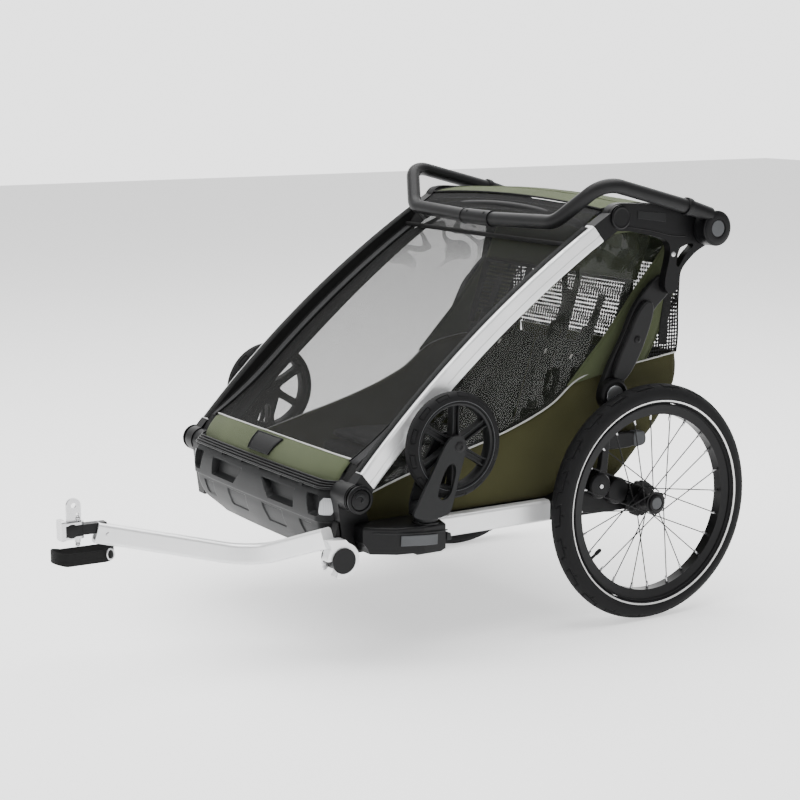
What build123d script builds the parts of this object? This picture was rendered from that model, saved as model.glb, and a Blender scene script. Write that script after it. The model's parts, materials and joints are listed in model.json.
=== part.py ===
"""Two-seat child bicycle trailer with a folding frame, a swing-away tow arm and stowed stroller casters.

+X is the trailer's left, -Y is the front (towards the bicycle) and +Z is up. The origin is on the ground,
under the centre of the whole trailer's box. Side views are drawn in millimetres behind the wheel axle (first
number) and above the ground (second number), with the axle at drawn_axle. Left pieces are mirrored.
"""
import os
from math import asin, atan2, cos, hypot, radians, sin

from build123d import *

# ---- driving dimensions, millimetres ----
wheel_radius = 250.0        # 20-inch wheel with a 47-406 tyre
tyre_width = 47.0
wheel_x = 366.0             # centre plane of a big wheel
tyre_height = 41.0          # from the rim's edge to the tread
rim_depth = 22.0
spoke_count = 24
spoke_r = 1.2
axle_r = 6.0                # quick-release wheel axle
running_gap = 0.05          # radial clearance of pins and shafts that turn
tow_reach = 1215.0          # from the wheel axle to the foremost point of the safety strap
drawn_axle = 250.0          # height of the axle in the side views

rail_x = 300.0              # base rail centre
rail_width = 28.0
rail_bottom = 226.0
rail_top = 270.0
rail_front = -655.0
rail_rear = -220.0
floor_bottom = 256.0
floor_thickness = 5.0

fold_pivot = (-701.0, 341.0)    # front tube on the base
top_pivot = (-78.0, 847.0)      # front tube on the top link
mid_pivot = (-75.0, 478.0)      # rear strut on the lower strut
strut_pivot = (70.0, 700.0)     # rear strut and top link, the linkage's fourth pivot
bar_pivot = (158.0, 816.0)      # handlebar on the top link
strut_foot = (-108.0, 290.0)    # lower strut on the axle bracket

tube_x = 335.0              # front tube centre
tube_width = 28.0
tube_depth = 44.0
tube_bow = 33.0             # how far the front tube bows upwards
tube_wall = 4.0
cover_rise = -3.0           # front cover's lower face above the tube's centre line
tube_start = 38.0           # along the chord, from the fold pivot
tube_end = 742.0
pin_r = 6.0

link_inner = tube_x - tube_width / 2
link_thin = 340.0           # outer face where a wheel or the handlebar passes
link_outer = 349.0
lap_split = 334.5           # the top link's tongue ends here and the tube's eye begins
lap_gap = 1.0
eye_r = 26.0
hub_r = 34.0                # mid hub
strut_inner = 300.0
strut_lap = 318.5
lower_strut_inner = 319.5
strut_outer = 336.0
strut_depth = 32.0

bar_r = 15.0                # handlebar tube
bar_end_x = link_outer + bar_r + 2.0
bar_housing = (353.0, 378.0)
bar_housing_r = 37.0
bar_button_r = 17.0
button_gap = 0.1

caster_x = 380.0
caster_stem_y = -565.0
caster_axle = (-503.0, 429.0)
caster_radius = 105.0
caster_width = 32.0
caster_stem_r = 10.0
dock_bottom = 232.0
dock_top = 284.0
dock_rear = -527.0

arm_pivot = (-728.0, 222.0)
arm_core_r = 22.0
arm_height = 40.0
arm_width = 28.0
strap_lead = 53.0           # the strap's foremost point is this far ahead of the hitch pin
hitch_pin_at = (94.0, strap_lead - tow_reach)
arm_path = [(99.0, hitch_pin_at[1] + 34.0, 281.0), (140.0, -815.0, 196.0), (331.0, -754.0, 268.0)]
arm_bend_r = 95.0
hitch_level = 290.0
hitch_bore_r = 5.25
hitch_bore = (hitch_pin_at[1] - 7.0, 337.0)
hitch_plate = 6.0

fabric = 3.0                # thickness of a soft sheet's stand-in
seat_gap = 0.3              # between a soft part and what carries it
panel_x = rail_x - rail_width / 2 - seat_gap    # outer face of the side fabric
roof_rise = 14.0

axle_y = (tow_reach - wheel_radius) / 2
axle_z = wheel_radius
frame_lift = axle_z - drawn_axle        # a larger wheel carries the whole frame higher
rim_outer_r = wheel_radius - tyre_height
rim_inner_r = rim_outer_r - rim_depth
axle_line = Axis((0, axle_y, axle_z), (1, 0, 0))
os.makedirs("parts", exist_ok=True)


def side_plane(x):
    """The side-view sketch plane at x."""
    return Plane(origin=(x, axle_y, frame_lift), x_dir=(0, 1, 0), z_dir=(1, 0, 0))


def front_plane(y):
    """The front-view sketch plane at y behind the wheel axle, facing forwards."""
    return Plane(origin=(0, y + axle_y, frame_lift), x_dir=(1, 0, 0), z_dir=(0, -1, 0))


def level_plane(z):
    """The plan-view sketch plane at height z, with its origin over the wheel axle."""
    return Plane(origin=(0, axle_y, z + frame_lift), x_dir=(1, 0, 0), z_dir=(0, 0, 1))


def at_axle(x, y, z):
    """A point given behind the wheel axle, in the model's own frame."""
    return (x, y + axle_y, z + frame_lift)


def save(part, name):
    part.part.label = name
    export_step(part.part, f"parts/{name}.step")


def between(start, end, along, off=0.0):
    """The side-view point a distance along the line from start to end, and off to its upper side."""
    length = hypot(end[0] - start[0], end[1] - start[1])
    uy, uz = (end[0] - start[0]) / length, (end[1] - start[1]) / length
    return (start[0] + uy * along - uz * off, start[1] + uz * along + uy * off)


tube_chord = hypot(top_pivot[0] - fold_pivot[0], top_pivot[1] - fold_pivot[1])


def on_tube(along, off=0.0):
    """A side-view point on the bowed front tube, off above its centre line."""
    share = 2 * along / tube_chord - 1
    return between(fold_pivot, top_pivot, along, tube_bow * (1 - share * share) + off)


def tube_band(first, last, low, high):
    """The face between two bows of the front tube, between two places along it."""
    middle = (first + last) / 2
    with BuildLine() as outline:
        ThreePointArc(on_tube(first, high), on_tube(middle, high), on_tube(last, high))
        Line(on_tube(last, high), on_tube(last, low))
        ThreePointArc(on_tube(last, low), on_tube(middle, low), on_tube(first, low))
        Line(on_tube(first, low), on_tube(first, high))
    make_face(outline.edges())


def tapered_bar(start, end, start_r, end_r):
    """A side-view bar with round ends, wide as its ends and tangent to both."""
    length = hypot(end[0] - start[0], end[1] - start[1])
    heading = atan2(end[1] - start[1], end[0] - start[0])
    lean = asin((start_r - end_r) / length)
    corners = []
    for centre, radius, turn in (
        (start, start_r, 1), (end, end_r, 1), (end, end_r, -1), (start, start_r, -1)
    ):
        angle = heading + turn * (radians(90) - lean)
        corners.append((centre[0] + radius * cos(angle), centre[1] + radius * sin(angle)))
    with BuildLine() as outline:
        Polyline(*corners, close=True)
    make_face(outline.edges())
    for centre, radius in ((start, start_r), (end, end_r)):
        with Locations(centre):
            Circle(radius)


# ---- base: rails, cross tubes, floor ----
rail_inner = rail_x - rail_width / 2
rail_outer = rail_x + rail_width / 2
rail_middle = (rail_bottom + rail_top) / 2
bracket_inner = 292.0
bracket_outer = link_inner - lap_gap
cross_tube_r = 13.0
front_cross = (-684.0, 248.0)

with BuildPart() as base_rails:
    with BuildSketch(front_plane(rail_front)):
        with Locations((rail_x, rail_middle)):
            RectangleRounded(rail_width, rail_top - rail_bottom, 7)
            RectangleRounded(rail_width - 5, rail_top - rail_bottom - 5, 5, mode=Mode.SUBTRACT)
    extrude(amount=-(rail_rear - rail_front))
    mirror(about=Plane.YZ)
    with BuildSketch(side_plane(-bracket_inner)):
        with Locations(front_cross):
            Circle(cross_tube_r)
            Circle(cross_tube_r - 2, mode=Mode.SUBTRACT)
    extrude(amount=2 * bracket_inner)
save(base_rails, "base_rails")

floor_front = -660.0
floor_rear = -32.0
with BuildPart() as floor_panel:
    with BuildSketch(side_plane(-rail_inner)):
        with BuildLine():
            Polyline(
                (floor_front, floor_bottom), (floor_rear, floor_bottom), (floor_rear, floor_bottom + 26),
                (floor_rear - floor_thickness, floor_bottom + 26),
                (floor_rear - floor_thickness, floor_bottom + floor_thickness),
                (floor_front, floor_bottom + floor_thickness), close=True,
            )
        make_face()
    extrude(amount=2 * rail_inner)
save(floor_panel, "floor_panel")

# ---- base: hinge brackets, axle brackets, axle tube and struts ----
bracket_r = 26.0
with BuildPart() as hinge_brackets:
    with BuildSketch(side_plane(bracket_inner)):
        with Locations(fold_pivot):
            Circle(bracket_r)
        with BuildLine():
            Polyline(
                (fold_pivot[0] - bracket_r, fold_pivot[1]), (fold_pivot[0] - 12, rail_bottom),
                (rail_front, rail_bottom), (rail_front, rail_top + 8),
                (fold_pivot[0] + bracket_r, fold_pivot[1]), close=True,
            )
        make_face()
    extrude(amount=bracket_outer - bracket_inner)
    with BuildSketch(side_plane(bracket_inner)):
        with Locations(fold_pivot):
            Circle(pin_r)
        with Locations(front_cross):
            Circle(pin_r)
    extrude(amount=bracket_outer - bracket_inner, mode=Mode.SUBTRACT)
    mirror(about=Plane.YZ)
save(hinge_brackets, "front_hinge_brackets")

receiver_r = 27.5
receiver_inner = 262.0
receiver_outer = 336.0
ratchet_r = 38.0
axle_depth = 60.0
with BuildPart() as axle_brackets:
    with BuildSketch(side_plane(rail_inner)):
        with BuildLine():
            Polyline(
                (rail_rear, rail_bottom + 2), (rail_rear, rail_top - 2), (strut_foot[0] - 30, 300),
                (strut_foot[0] + 20, 316), (-30, 284), (20, 272), (26, 240), (-10, rail_bottom),
                close=True,
            )
        make_face()
    extrude(amount=rail_width)
    with BuildSketch(side_plane(rail_inner)):
        with Locations(strut_foot):
            Circle(20)
    extrude(amount=lower_strut_inner - rail_inner)
    with BuildSketch(side_plane(receiver_inner)):
        with Locations((0, drawn_axle)):
            Circle(receiver_r)
    extrude(amount=receiver_outer - receiver_inner)
    with BuildSketch(side_plane(receiver_outer - 9)):
        with Locations((0, drawn_axle)):
            Circle(ratchet_r)
            with PolarLocations(ratchet_r, 16):
                Circle(3.2, mode=Mode.SUBTRACT)
    extrude(amount=9)
    with BuildSketch(side_plane(receiver_outer - axle_depth)):
        with Locations((0, drawn_axle)):
            Circle(axle_r)
    extrude(amount=axle_depth, mode=Mode.SUBTRACT)
    with BuildSketch(side_plane(receiver_outer - axle_depth)):
        with Locations(strut_foot):
            Circle(pin_r)
    extrude(amount=axle_depth, mode=Mode.SUBTRACT)
    mirror(about=Plane.YZ)
save(axle_brackets, "axle_brackets")

with BuildPart() as axle_tube:
    with BuildSketch(side_plane(-receiver_inner)):
        with Locations((0, drawn_axle)):
            Circle(18)
            Circle(15.5, mode=Mode.SUBTRACT)
    extrude(amount=2 * receiver_inner)
save(axle_tube, "axle_tube")

wheel_hub_inner = wheel_x - tyre_width / 2
wheel_hub_outer = wheel_x + tyre_width / 2
hub_recess = 7.0
with BuildPart() as wheel_axles:
    with BuildSketch(side_plane(receiver_outer - axle_depth)):
        with Locations((0, drawn_axle)):
            Circle(axle_r)
    extrude(amount=wheel_hub_outer - hub_recess - 1 - (receiver_outer - axle_depth))
    with BuildSketch(side_plane(receiver_outer)):
        with Locations((0, drawn_axle)):
            Circle(11)
    extrude(amount=wheel_hub_inner - receiver_outer - 0.3)
    mirror(about=Plane.YZ)
save(wheel_axles, "wheel_axles")

cap_height = 4.0
with BuildPart() as lower_struts:
    with BuildSketch(side_plane(lower_strut_inner)):
        tapered_bar(strut_foot, mid_pivot, 22, 18)
        with Locations(mid_pivot):
            Circle(hub_r)
    extrude(amount=strut_outer - lower_strut_inner)
    with BuildSketch(side_plane(strut_outer)):
        with Locations(strut_foot):
            Circle(24)
    extrude(amount=cap_height)
    fillet(lower_struts.faces().sort_by(Axis.X)[-1].edges(), 2)
    with BuildSketch(side_plane(lower_strut_inner)):
        with Locations(strut_foot, mid_pivot):
            Circle(pin_r)
    extrude(amount=strut_outer - lower_strut_inner - 3, mode=Mode.SUBTRACT)
    mirror(about=Plane.YZ)
save(lower_struts, "lower_struts")

with BuildPart() as hub_discs:
    with BuildSketch(side_plane(strut_outer)):
        with Locations(mid_pivot):
            Circle(22)
    extrude(amount=cap_height)
    chamfer(hub_discs.faces().sort_by(Axis.X)[-1].edges(), 1.2)
    mirror(about=Plane.YZ)
save(hub_discs, "mid_hub_discs")

pedal_pivot = (-88.0, 376.0)
pedal_inner = 292.0
pedal_outer = 312.0
knuckle_outer = tube_x + tube_width / 2 + 6
with BuildPart() as base_pins:
    with BuildSketch(side_plane(bracket_inner)):
        with Locations(fold_pivot):
            Circle(pin_r)
    extrude(amount=knuckle_outer - 6 - bracket_inner)
    with BuildSketch(side_plane(strut_inner + 2)):
        with Locations(mid_pivot):
            Circle(pin_r)
    extrude(amount=strut_outer - 3 - strut_inner - 2)
    with BuildSketch(side_plane(rail_outer)):
        with Locations(strut_foot):
            Circle(pin_r)
    extrude(amount=strut_outer - 3 - rail_outer)
    mirror(about=Plane.YZ)
    with BuildSketch(side_plane(pedal_inner)):
        with Locations(pedal_pivot):
            Circle(pin_r - 1)
    extrude(amount=lower_strut_inner - pedal_inner)
save(base_pins, "base_pivot_pins")

# ---- base: front bumper, reflectors, docks and screws ----
bumper_half = 297.0
bumper_foot_half = 205.0
bumper_wall = 5.0
bumper_nose = -760.0
bumper_corner = 252.0       # the lower corners are cut away below this height
bumper_low = 206.0
pocket_at = (110.0, 318.0)
pocket_size = (120.0, 26.0)
pocket_depth = 16.0
reflector_back = -743.0
reflector_at = (262.0, 292.0)
reflector_size = (30.0, 36.0)
bumper_profile = [(-724, 362), (-744, 338), (-750, 300), (-738, 262), (-708, bumper_low)]
with BuildPart() as bumper:
    with BuildSketch(side_plane(-bumper_half)):
        with BuildLine():
            skin = Polyline(*bumper_profile)
            offset(skin, amount=bumper_wall, side=Side.RIGHT)
        make_face()
    extrude(amount=2 * bumper_half)
    with BuildSketch(front_plane(bumper_nose)):
        for side in (-1, 1):
            with BuildLine():
                Polyline(
                    (side * (bumper_half + 1), bumper_corner), (side * (bumper_half + 1), bumper_low - 6),
                    (side * bumper_foot_half, bumper_low - 6), close=True,
                )
            make_face()
    extrude(amount=-80, mode=Mode.SUBTRACT)
    with BuildSketch(front_plane(bumper_nose)):
        with Locations(*[(side * pocket_at[0], pocket_at[1]) for side in (-1, 1)]):
            Trapezoid(*pocket_size, 75)
    extrude(amount=-pocket_depth, mode=Mode.SUBTRACT)
    with BuildSketch(front_plane(reflector_back)):
        for side in (-1, 1):
            with Locations((side * reflector_at[0], reflector_at[1])):
                RectangleRounded(*reflector_size, 8)
    extrude(amount=20, mode=Mode.SUBTRACT)
save(bumper, "front_bumper")

with BuildPart() as reflectors:
    with BuildSketch(front_plane(reflector_back)):
        with Locations(reflector_at):
            RectangleRounded(*reflector_size, 8)
    extrude(amount=8)
    mirror(about=Plane.YZ)
save(reflectors, "front_reflectors")

dock_inner = rail_outer
dock_web = 6.0              # plastic under a caster's stem
dock_button_at = (352.0, 258.0)
dock_button_size = (18.0, 14.0, 16.0)
dock_button_proud = 6.0
dock_button_gap = 0.2
with BuildPart() as docks:
    with BuildSketch(level_plane(dock_bottom)):
        with BuildLine():
            outline = [
                (dock_inner, dock_rear), (caster_x - 6, dock_rear), (caster_x + 24, caster_stem_y + 30),
                (caster_x + 27, caster_stem_y - 20), (caster_x + 14, -640), (356, -692),
                (bracket_outer, -690), (bracket_outer, rail_front), (dock_inner, rail_front),
            ]
            Polyline(*outline, close=True)
        make_face()
    extrude(amount=dock_top - dock_bottom)
    fillet(docks.edges().filter_by(Axis.Z).group_by(Axis.X)[-1], 14)
    fillet(docks.faces().sort_by(Axis.Z)[-1].edges().sort_by(Axis.X)[1:], 5)
    with BuildSketch(level_plane(dock_bottom + dock_web)):
        with Locations((caster_x, caster_stem_y)):
            Circle(caster_stem_r)
    extrude(amount=dock_top - dock_bottom, mode=Mode.SUBTRACT)
    with BuildSketch(front_plane(dock_rear)):
        with Locations(dock_button_at):
            Rectangle(dock_button_size[0] + 2 * dock_button_gap, dock_button_size[2] + 2 * dock_button_gap)
    extrude(amount=dock_button_size[1] - dock_button_proud + 2, mode=Mode.SUBTRACT)
    with BuildSketch(side_plane(bracket_outer)):
        with Locations(arm_pivot):
            Circle(48)
    extrude(amount=90, mode=Mode.SUBTRACT)
    mirror(about=Plane.YZ)
save(docks, "caster_docks")


def dock_button(side):
    with BuildPart() as button:
        with BuildSketch(front_plane(dock_rear - dock_button_size[1] + dock_button_proud + 2)):
            with Locations((side * dock_button_at[0], dock_button_at[1])):
                Rectangle(dock_button_size[0], dock_button_size[2])
        extrude(amount=-dock_button_size[1])
        fillet(button.faces().sort_by(Axis.Y)[-1].edges(), 2)
    return button


save(dock_button(1), "dock_button_left")
save(dock_button(-1), "dock_button_right")

mount_inner = 296.0
with BuildPart() as arm_mount:
    with BuildSketch(side_plane(mount_inner)):
        with BuildLine():
            Polyline(
                (arm_pivot[0] - 10, arm_pivot[1] - 20), (arm_pivot[0] + 22, arm_pivot[1] - 12),
                (fold_pivot[0] + 8, rail_bottom - 0.01), (fold_pivot[0] - 12, rail_bottom - 0.01),
                (fold_pivot[0] - 22, 290), (arm_pivot[0] - 8, 240), close=True,
            )
        make_face()
    extrude(amount=bracket_outer - mount_inner - 4)
    with BuildSketch(side_plane(mount_inner)):
        with Locations(arm_pivot):
            Circle(arm_core_r)
    extrude(amount=345 - mount_inner)
    with BuildSketch(side_plane(345)):
        with Locations(arm_pivot):
            Circle(arm_core_r + 3)
    extrude(amount=3)
    with BuildSketch(side_plane(bracket_inner - 1)):
        with BuildLine():
            Polyline(
                (fold_pivot[0] - bracket_r, fold_pivot[1]), (fold_pivot[0] - 12, rail_bottom),
                (rail_front, rail_bottom), (rail_front, rail_top + 8),
                (fold_pivot[0] + bracket_r, fold_pivot[1]), close=True,
            )
        make_face()
    extrude(amount=bracket_outer - bracket_inner + 2, mode=Mode.SUBTRACT)
save(arm_mount, "tow_arm_mount")

# ---- front frame: bowed tubes, their ends, caps, cross bar, cover and band ----
tube_inner = tube_x - tube_width / 2
with BuildPart() as front_tubes:
    with BuildSketch(side_plane(tube_inner)):
        tube_band(tube_start, tube_end, -tube_depth / 2, tube_depth / 2)
    extrude(amount=tube_width)
    long_edges = front_tubes.edges().filter_by(GeomType.CIRCLE)
    fillet(long_edges, 6)
    with BuildSketch(side_plane(tube_inner + tube_width - 1.2)):
        tube_band(tube_start, tube_end, -5, -3)
    extrude(amount=2, mode=Mode.SUBTRACT)
    with BuildSketch(side_plane(tube_inner + tube_wall)):
        tube_band(tube_start - 1, tube_end + 1, tube_wall - tube_depth / 2, tube_depth / 2 - tube_wall)
    extrude(amount=tube_width - 2 * tube_wall, mode=Mode.SUBTRACT)
    mirror(about=Plane.YZ)
save(front_tubes, "front_tubes")

knuckle_r = 28.0
with BuildPart() as tube_ends:
    with BuildSketch(side_plane(tube_inner)):
        with Locations(fold_pivot):
            Circle(knuckle_r)
        tube_band(4, tube_start, -tube_depth / 2 + 1, tube_depth / 2 - 1)
    extrude(amount=tube_width)
    with BuildSketch(side_plane(tube_inner + tube_width)):
        with Locations(fold_pivot):
            Circle(knuckle_r - 1)
    extrude(amount=4)
    with BuildSketch(side_plane(tube_inner)):
        with Locations(fold_pivot):
            Circle(pin_r + running_gap)
    extrude(amount=tube_width + 1, mode=Mode.SUBTRACT)
    with BuildSketch(side_plane(tube_inner)):
        tube_band(tube_end, tube_chord - 8, -tube_depth / 2 + 1, tube_depth / 2 - 1)
    extrude(amount=tube_width)
    with BuildSketch(side_plane(tube_inner)):
        with Locations(top_pivot):
            Circle(eye_r)
    extrude(amount=tube_width)
    with BuildSketch(side_plane(tube_inner)):
        with Locations(top_pivot):
            Circle(eye_r + 1.5)
    extrude(amount=lap_split + lap_gap - tube_inner, mode=Mode.SUBTRACT)
    with BuildSketch(side_plane(lap_split)):
        with Locations(top_pivot):
            Circle(pin_r)
    extrude(amount=tube_inner + tube_width - lap_split, mode=Mode.SUBTRACT)
    mirror(about=Plane.YZ)
save(tube_ends, "front_tube_ends")

with BuildPart() as frame_caps:
    with BuildSketch(side_plane(tube_inner + tube_width + 4)):
        with Locations(fold_pivot):
            Circle(knuckle_r - 6)
    extrude(amount=4)
    with BuildSketch(side_plane(tube_inner + tube_width)):
        with Locations(top_pivot):
            Circle(eye_r - 4)
    extrude(amount=5)
    fillet(frame_caps.faces().filter_by(Axis.X).sort_by(Axis.X)[-1].edges(), 1.5)
    with BuildSketch(side_plane(link_inner + 1)):
        with Locations(top_pivot):
            Circle(pin_r)
    extrude(amount=tube_inner + tube_width - link_inner - 1)
    mirror(about=Plane.YZ)
save(frame_caps, "frame_caps")

cross_bar_at = 752.0
cross_bar_r = 9.0
cross_bar_rise = 30.0
with BuildPart() as cross_bar:
    foot = on_tube(cross_bar_at)
    crown = (foot[0] + 4, foot[1] + cross_bar_rise)
    with BuildLine():
        bar_line = ThreePointArc(
            at_axle(-tube_inner, *foot), at_axle(0, *crown), at_axle(tube_inner, *foot),
        )
    with BuildSketch(Plane(origin=bar_line @ 0, z_dir=bar_line % 0)):
        Circle(cross_bar_r)
    sweep()
    split(bisect_by=Plane.YZ.offset(tube_inner), keep=Keep.BOTTOM)
    split(bisect_by=Plane.YZ.offset(-tube_inner), keep=Keep.TOP)
save(cross_bar, "front_cross_bar")

cover_start = 78.0
cover_end = 696.0
cover_half = tube_inner - seat_gap
with BuildPart() as front_cover:
    with BuildSketch(side_plane(-cover_half)):
        tube_band(cover_start, cover_end, cover_rise, cover_rise + fabric)
    extrude(amount=2 * cover_half)
save(front_cover, "front_cover")

with BuildPart() as front_band:
    with BuildSketch(side_plane(-cover_half)):
        with BuildLine():
            Polyline(
                (-727, 366), (-692, 411), on_tube(cover_start, cover_rise + fabric),
                on_tube(cover_start, cover_rise), (-689, 406), (-722, 366), close=True,
            )
        make_face()
    extrude(amount=2 * cover_half)
save(front_band, "front_band")

# ---- top link: side links, roof tube, handlebar detents and roof ----
link_eye_r = 20.0
link_end_r = 36.0
roof_tube_at = (70.0, 838.0)
with BuildPart() as top_links:
    with BuildSketch(side_plane(link_inner)):
        tapered_bar(top_pivot, bar_pivot, eye_r, link_end_r)
        tapered_bar((88, 790), strut_pivot, 30, link_eye_r)
    extrude(amount=link_thin - link_inner)
    with BuildSketch(side_plane(link_thin)):
        tapered_bar(top_pivot, bar_pivot, eye_r - 3, link_end_r - 3)
        with Locations(bar_pivot):
            Circle(62, mode=Mode.SUBTRACT)
    extrude(amount=link_outer - link_thin)
    with BuildSketch(side_plane(lap_split)):
        with Locations(top_pivot):
            Circle(eye_r + 2)
    extrude(amount=link_outer - lap_split, mode=Mode.SUBTRACT)
    with BuildSketch(side_plane(link_inner)):
        tube_band(tube_end - 40, tube_chord - eye_r + 12, -tube_depth, tube_depth)
    extrude(amount=link_outer - link_inner, mode=Mode.SUBTRACT)
    with BuildSketch(side_plane(link_inner)):
        with Locations(top_pivot):
            Circle(pin_r + running_gap)
    extrude(amount=tube_width, mode=Mode.SUBTRACT)
    mirror(about=Plane.YZ)
save(top_links, "top_side_links")

with BuildPart() as roof_tube:
    with BuildSketch(side_plane(-link_inner)):
        with Locations(roof_tube_at):
            Circle(cross_bar_r)
            Circle(cross_bar_r - 2, mode=Mode.SUBTRACT)
    extrude(amount=2 * link_inner)
save(roof_tube, "roof_cross_tube")

detent_r = 20.0
with BuildPart() as detents:
    with BuildSketch(side_plane(link_thin)):
        with Locations(bar_pivot):
            Circle(detent_r)
            with PolarLocations(detent_r, 18):
                Circle(1.5, mode=Mode.SUBTRACT)
    extrude(amount=bar_housing[0] - 1 - link_thin)
    with BuildSketch(side_plane(bar_housing[0] - 1)):
        with Locations(bar_pivot):
            Circle(9)
    extrude(amount=12)
    mirror(about=Plane.YZ)
save(detents, "handlebar_detents")

roof_half = link_inner - seat_gap
roof_front = -102.0
roof_back = 58.0
roof_front_z = 862.0
roof_back_z = 872.0
with BuildPart() as roof:
    for y, z, rise in ((roof_front, roof_front_z, roof_rise), (roof_back, roof_back_z, roof_rise - 4)):
        with BuildSketch(front_plane(y)):
            with BuildLine():
                ThreePointArc((-roof_half, z), (0, z + rise), (roof_half, z))
                Line((roof_half, z), (roof_half, z - fabric))
                ThreePointArc((roof_half, z - fabric), (0, z + rise - fabric), (-roof_half, z - fabric))
                Line((-roof_half, z - fabric), (-roof_half, z))
            make_face()
    loft()
save(roof, "roof_canopy")

# ---- rear struts ----
strut_thin = 95.0           # the strut is thin this far from its top, where the top link passes it
strut_length = hypot(strut_pivot[0] - mid_pivot[0], strut_pivot[1] - mid_pivot[1])
with BuildPart() as rear_struts:
    with BuildSketch(side_plane(strut_inner)):
        tapered_bar(mid_pivot, strut_pivot, strut_depth / 2, strut_depth / 2)
        with Locations(mid_pivot):
            Circle(hub_r)
    extrude(amount=strut_lap - strut_inner)
    with BuildSketch(side_plane(strut_inner)):
        thick_start = between(mid_pivot, strut_pivot, hub_r + 18)
        thick_end = between(mid_pivot, strut_pivot, strut_length - strut_thin)
        tapered_bar(thick_start, thick_end, strut_depth / 2, strut_depth / 2 - 2)
    extrude(amount=strut_outer - strut_inner)
    with BuildSketch(side_plane(strut_inner)):
        with Locations(mid_pivot):
            Circle(pin_r + running_gap)
    extrude(amount=strut_lap - strut_inner, mode=Mode.SUBTRACT)
    mirror(about=Plane.YZ)
save(rear_struts, "rear_struts")

# ---- handlebar: end housings, bar, sleeve and buttons ----
sleeve_half = 50.0
sleeve_overlap = 1.0
bar_collar = (91.0, 862.0)
bar_points = [
    at_axle(bar_end_x, *bar_collar), at_axle(bar_end_x - 3, -130, 921), at_axle(268, -184, 836),
    at_axle(sleeve_half, -188, 829),
]
with BuildPart() as handlebar:
    with BuildLine():
        bar_route = FilletPolyline(*bar_points, radius=52)
    with BuildSketch(Plane(origin=bar_route @ 0, z_dir=bar_route % 0)):
        Circle(bar_r)
        Circle(bar_r - 2, mode=Mode.SUBTRACT)
    sweep()
    mirror(about=Plane.YZ)
save(handlebar, "handlebar_tubes")

with BuildPart() as bar_housings:
    with BuildSketch(side_plane(bar_housing[0])):
        with Locations(bar_pivot):
            Circle(bar_housing_r)
    extrude(amount=bar_housing[1] - bar_housing[0])
    fillet(bar_housings.faces().sort_by(Axis.X)[-1].edges(), 3)
    collar_plane = Plane(
        origin=at_axle(bar_end_x, *bar_collar),
        z_dir=(0, bar_pivot[0] - bar_collar[0], bar_pivot[1] + 24 - bar_collar[1]),
    )
    with BuildSketch(collar_plane):
        Circle(bar_r + 1)
    extrude(amount=56)
    with BuildSketch(Plane(origin=bar_route @ 0, z_dir=-(bar_route % 0))):
        Circle(bar_r + 8)
    extrude(amount=-30, mode=Mode.SUBTRACT)
    with BuildSketch(side_plane(bar_housing[0])):
        with Locations(bar_pivot):
            Circle(9 + running_gap)
    extrude(amount=12, mode=Mode.SUBTRACT)
    with BuildSketch(side_plane(bar_housing[1] - 7)):
        with Locations(bar_pivot):
            Circle(bar_button_r)
    extrude(amount=7, mode=Mode.SUBTRACT)
    mirror(about=Plane.YZ)
save(bar_housings, "handlebar_housings")

with BuildPart() as sleeve:
    with BuildSketch(Plane.YZ.offset(-sleeve_half - sleeve_overlap)):
        with Locations((bar_points[-1][1], bar_points[-1][2])):
            Circle(bar_r + 1.5)
    extrude(amount=2 * (sleeve_half + sleeve_overlap))
    for side in (-1, 1):
        end = bar_route @ 1
        heading = bar_route % 1
        with BuildSketch(Plane(
            origin=(side * end.X, end.Y, end.Z), z_dir=(-side * heading.X, -heading.Y, -heading.Z),
        )):
            Circle(bar_r + 8)
        extrude(amount=30, mode=Mode.SUBTRACT)
save(sleeve, "handlebar_sleeve")


def round_button(x_face, centre, radius, side):
    """A push button in a round recess, with its pressed face outwards."""
    with BuildPart() as button:
        with BuildSketch(side_plane(side * (x_face - 3.4))):
            with Locations(centre):
                Circle(radius - button_gap)
        extrude(amount=side * 5.0)
        fillet(button.faces().filter_by(Axis.X).sort_by(Axis.X)[-1 if side > 0 else 0].edges(), 1)
    return button


for side, name in ((1, "left"), (-1, "right")):
    save(round_button(bar_housing[1], bar_pivot, bar_button_r, side), f"handlebar_button_{name}")

# ---- big wheels: tyre, rim, spokes, hub and release button ----
tyre_r = tyre_width / 2
tyre_centre = wheel_radius - tyre_r
hub_flange_r = 24.0
hub_button_r = 13.0


def wheel_plane(side):
    """The half-section plane of a wheel: first number along its axle, second out from it."""
    return Plane(origin=(side * wheel_x, axle_y, axle_z), x_dir=(1, 0, 0), z_dir=(0, -1, 0))


def make_tyre(side):
    with BuildPart() as tyre:
        with BuildSketch(wheel_plane(side)):
            with Locations((0, tyre_centre)):
                Circle(tyre_r)
                Circle(tyre_r - 3.5, mode=Mode.SUBTRACT)
            with Locations((0, rim_outer_r - 20)):
                Rectangle(tyre_width, 40, mode=Mode.SUBTRACT)
        revolve(axis=axle_line)
    return tyre


def make_rim(side):
    with BuildPart() as rim:
        with BuildSketch(wheel_plane(side)):
            with BuildLine():
                Polyline(
                    (-15.5, rim_outer_r), (-12.5, rim_outer_r), (-11, rim_outer_r - 12),
                    (11, rim_outer_r - 12), (12.5, rim_outer_r), (15.5, rim_outer_r),
                    (12, rim_inner_r), (-12, rim_inner_r), close=True,
                )
            make_face()
        revolve(axis=axle_line)
    return rim


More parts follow.
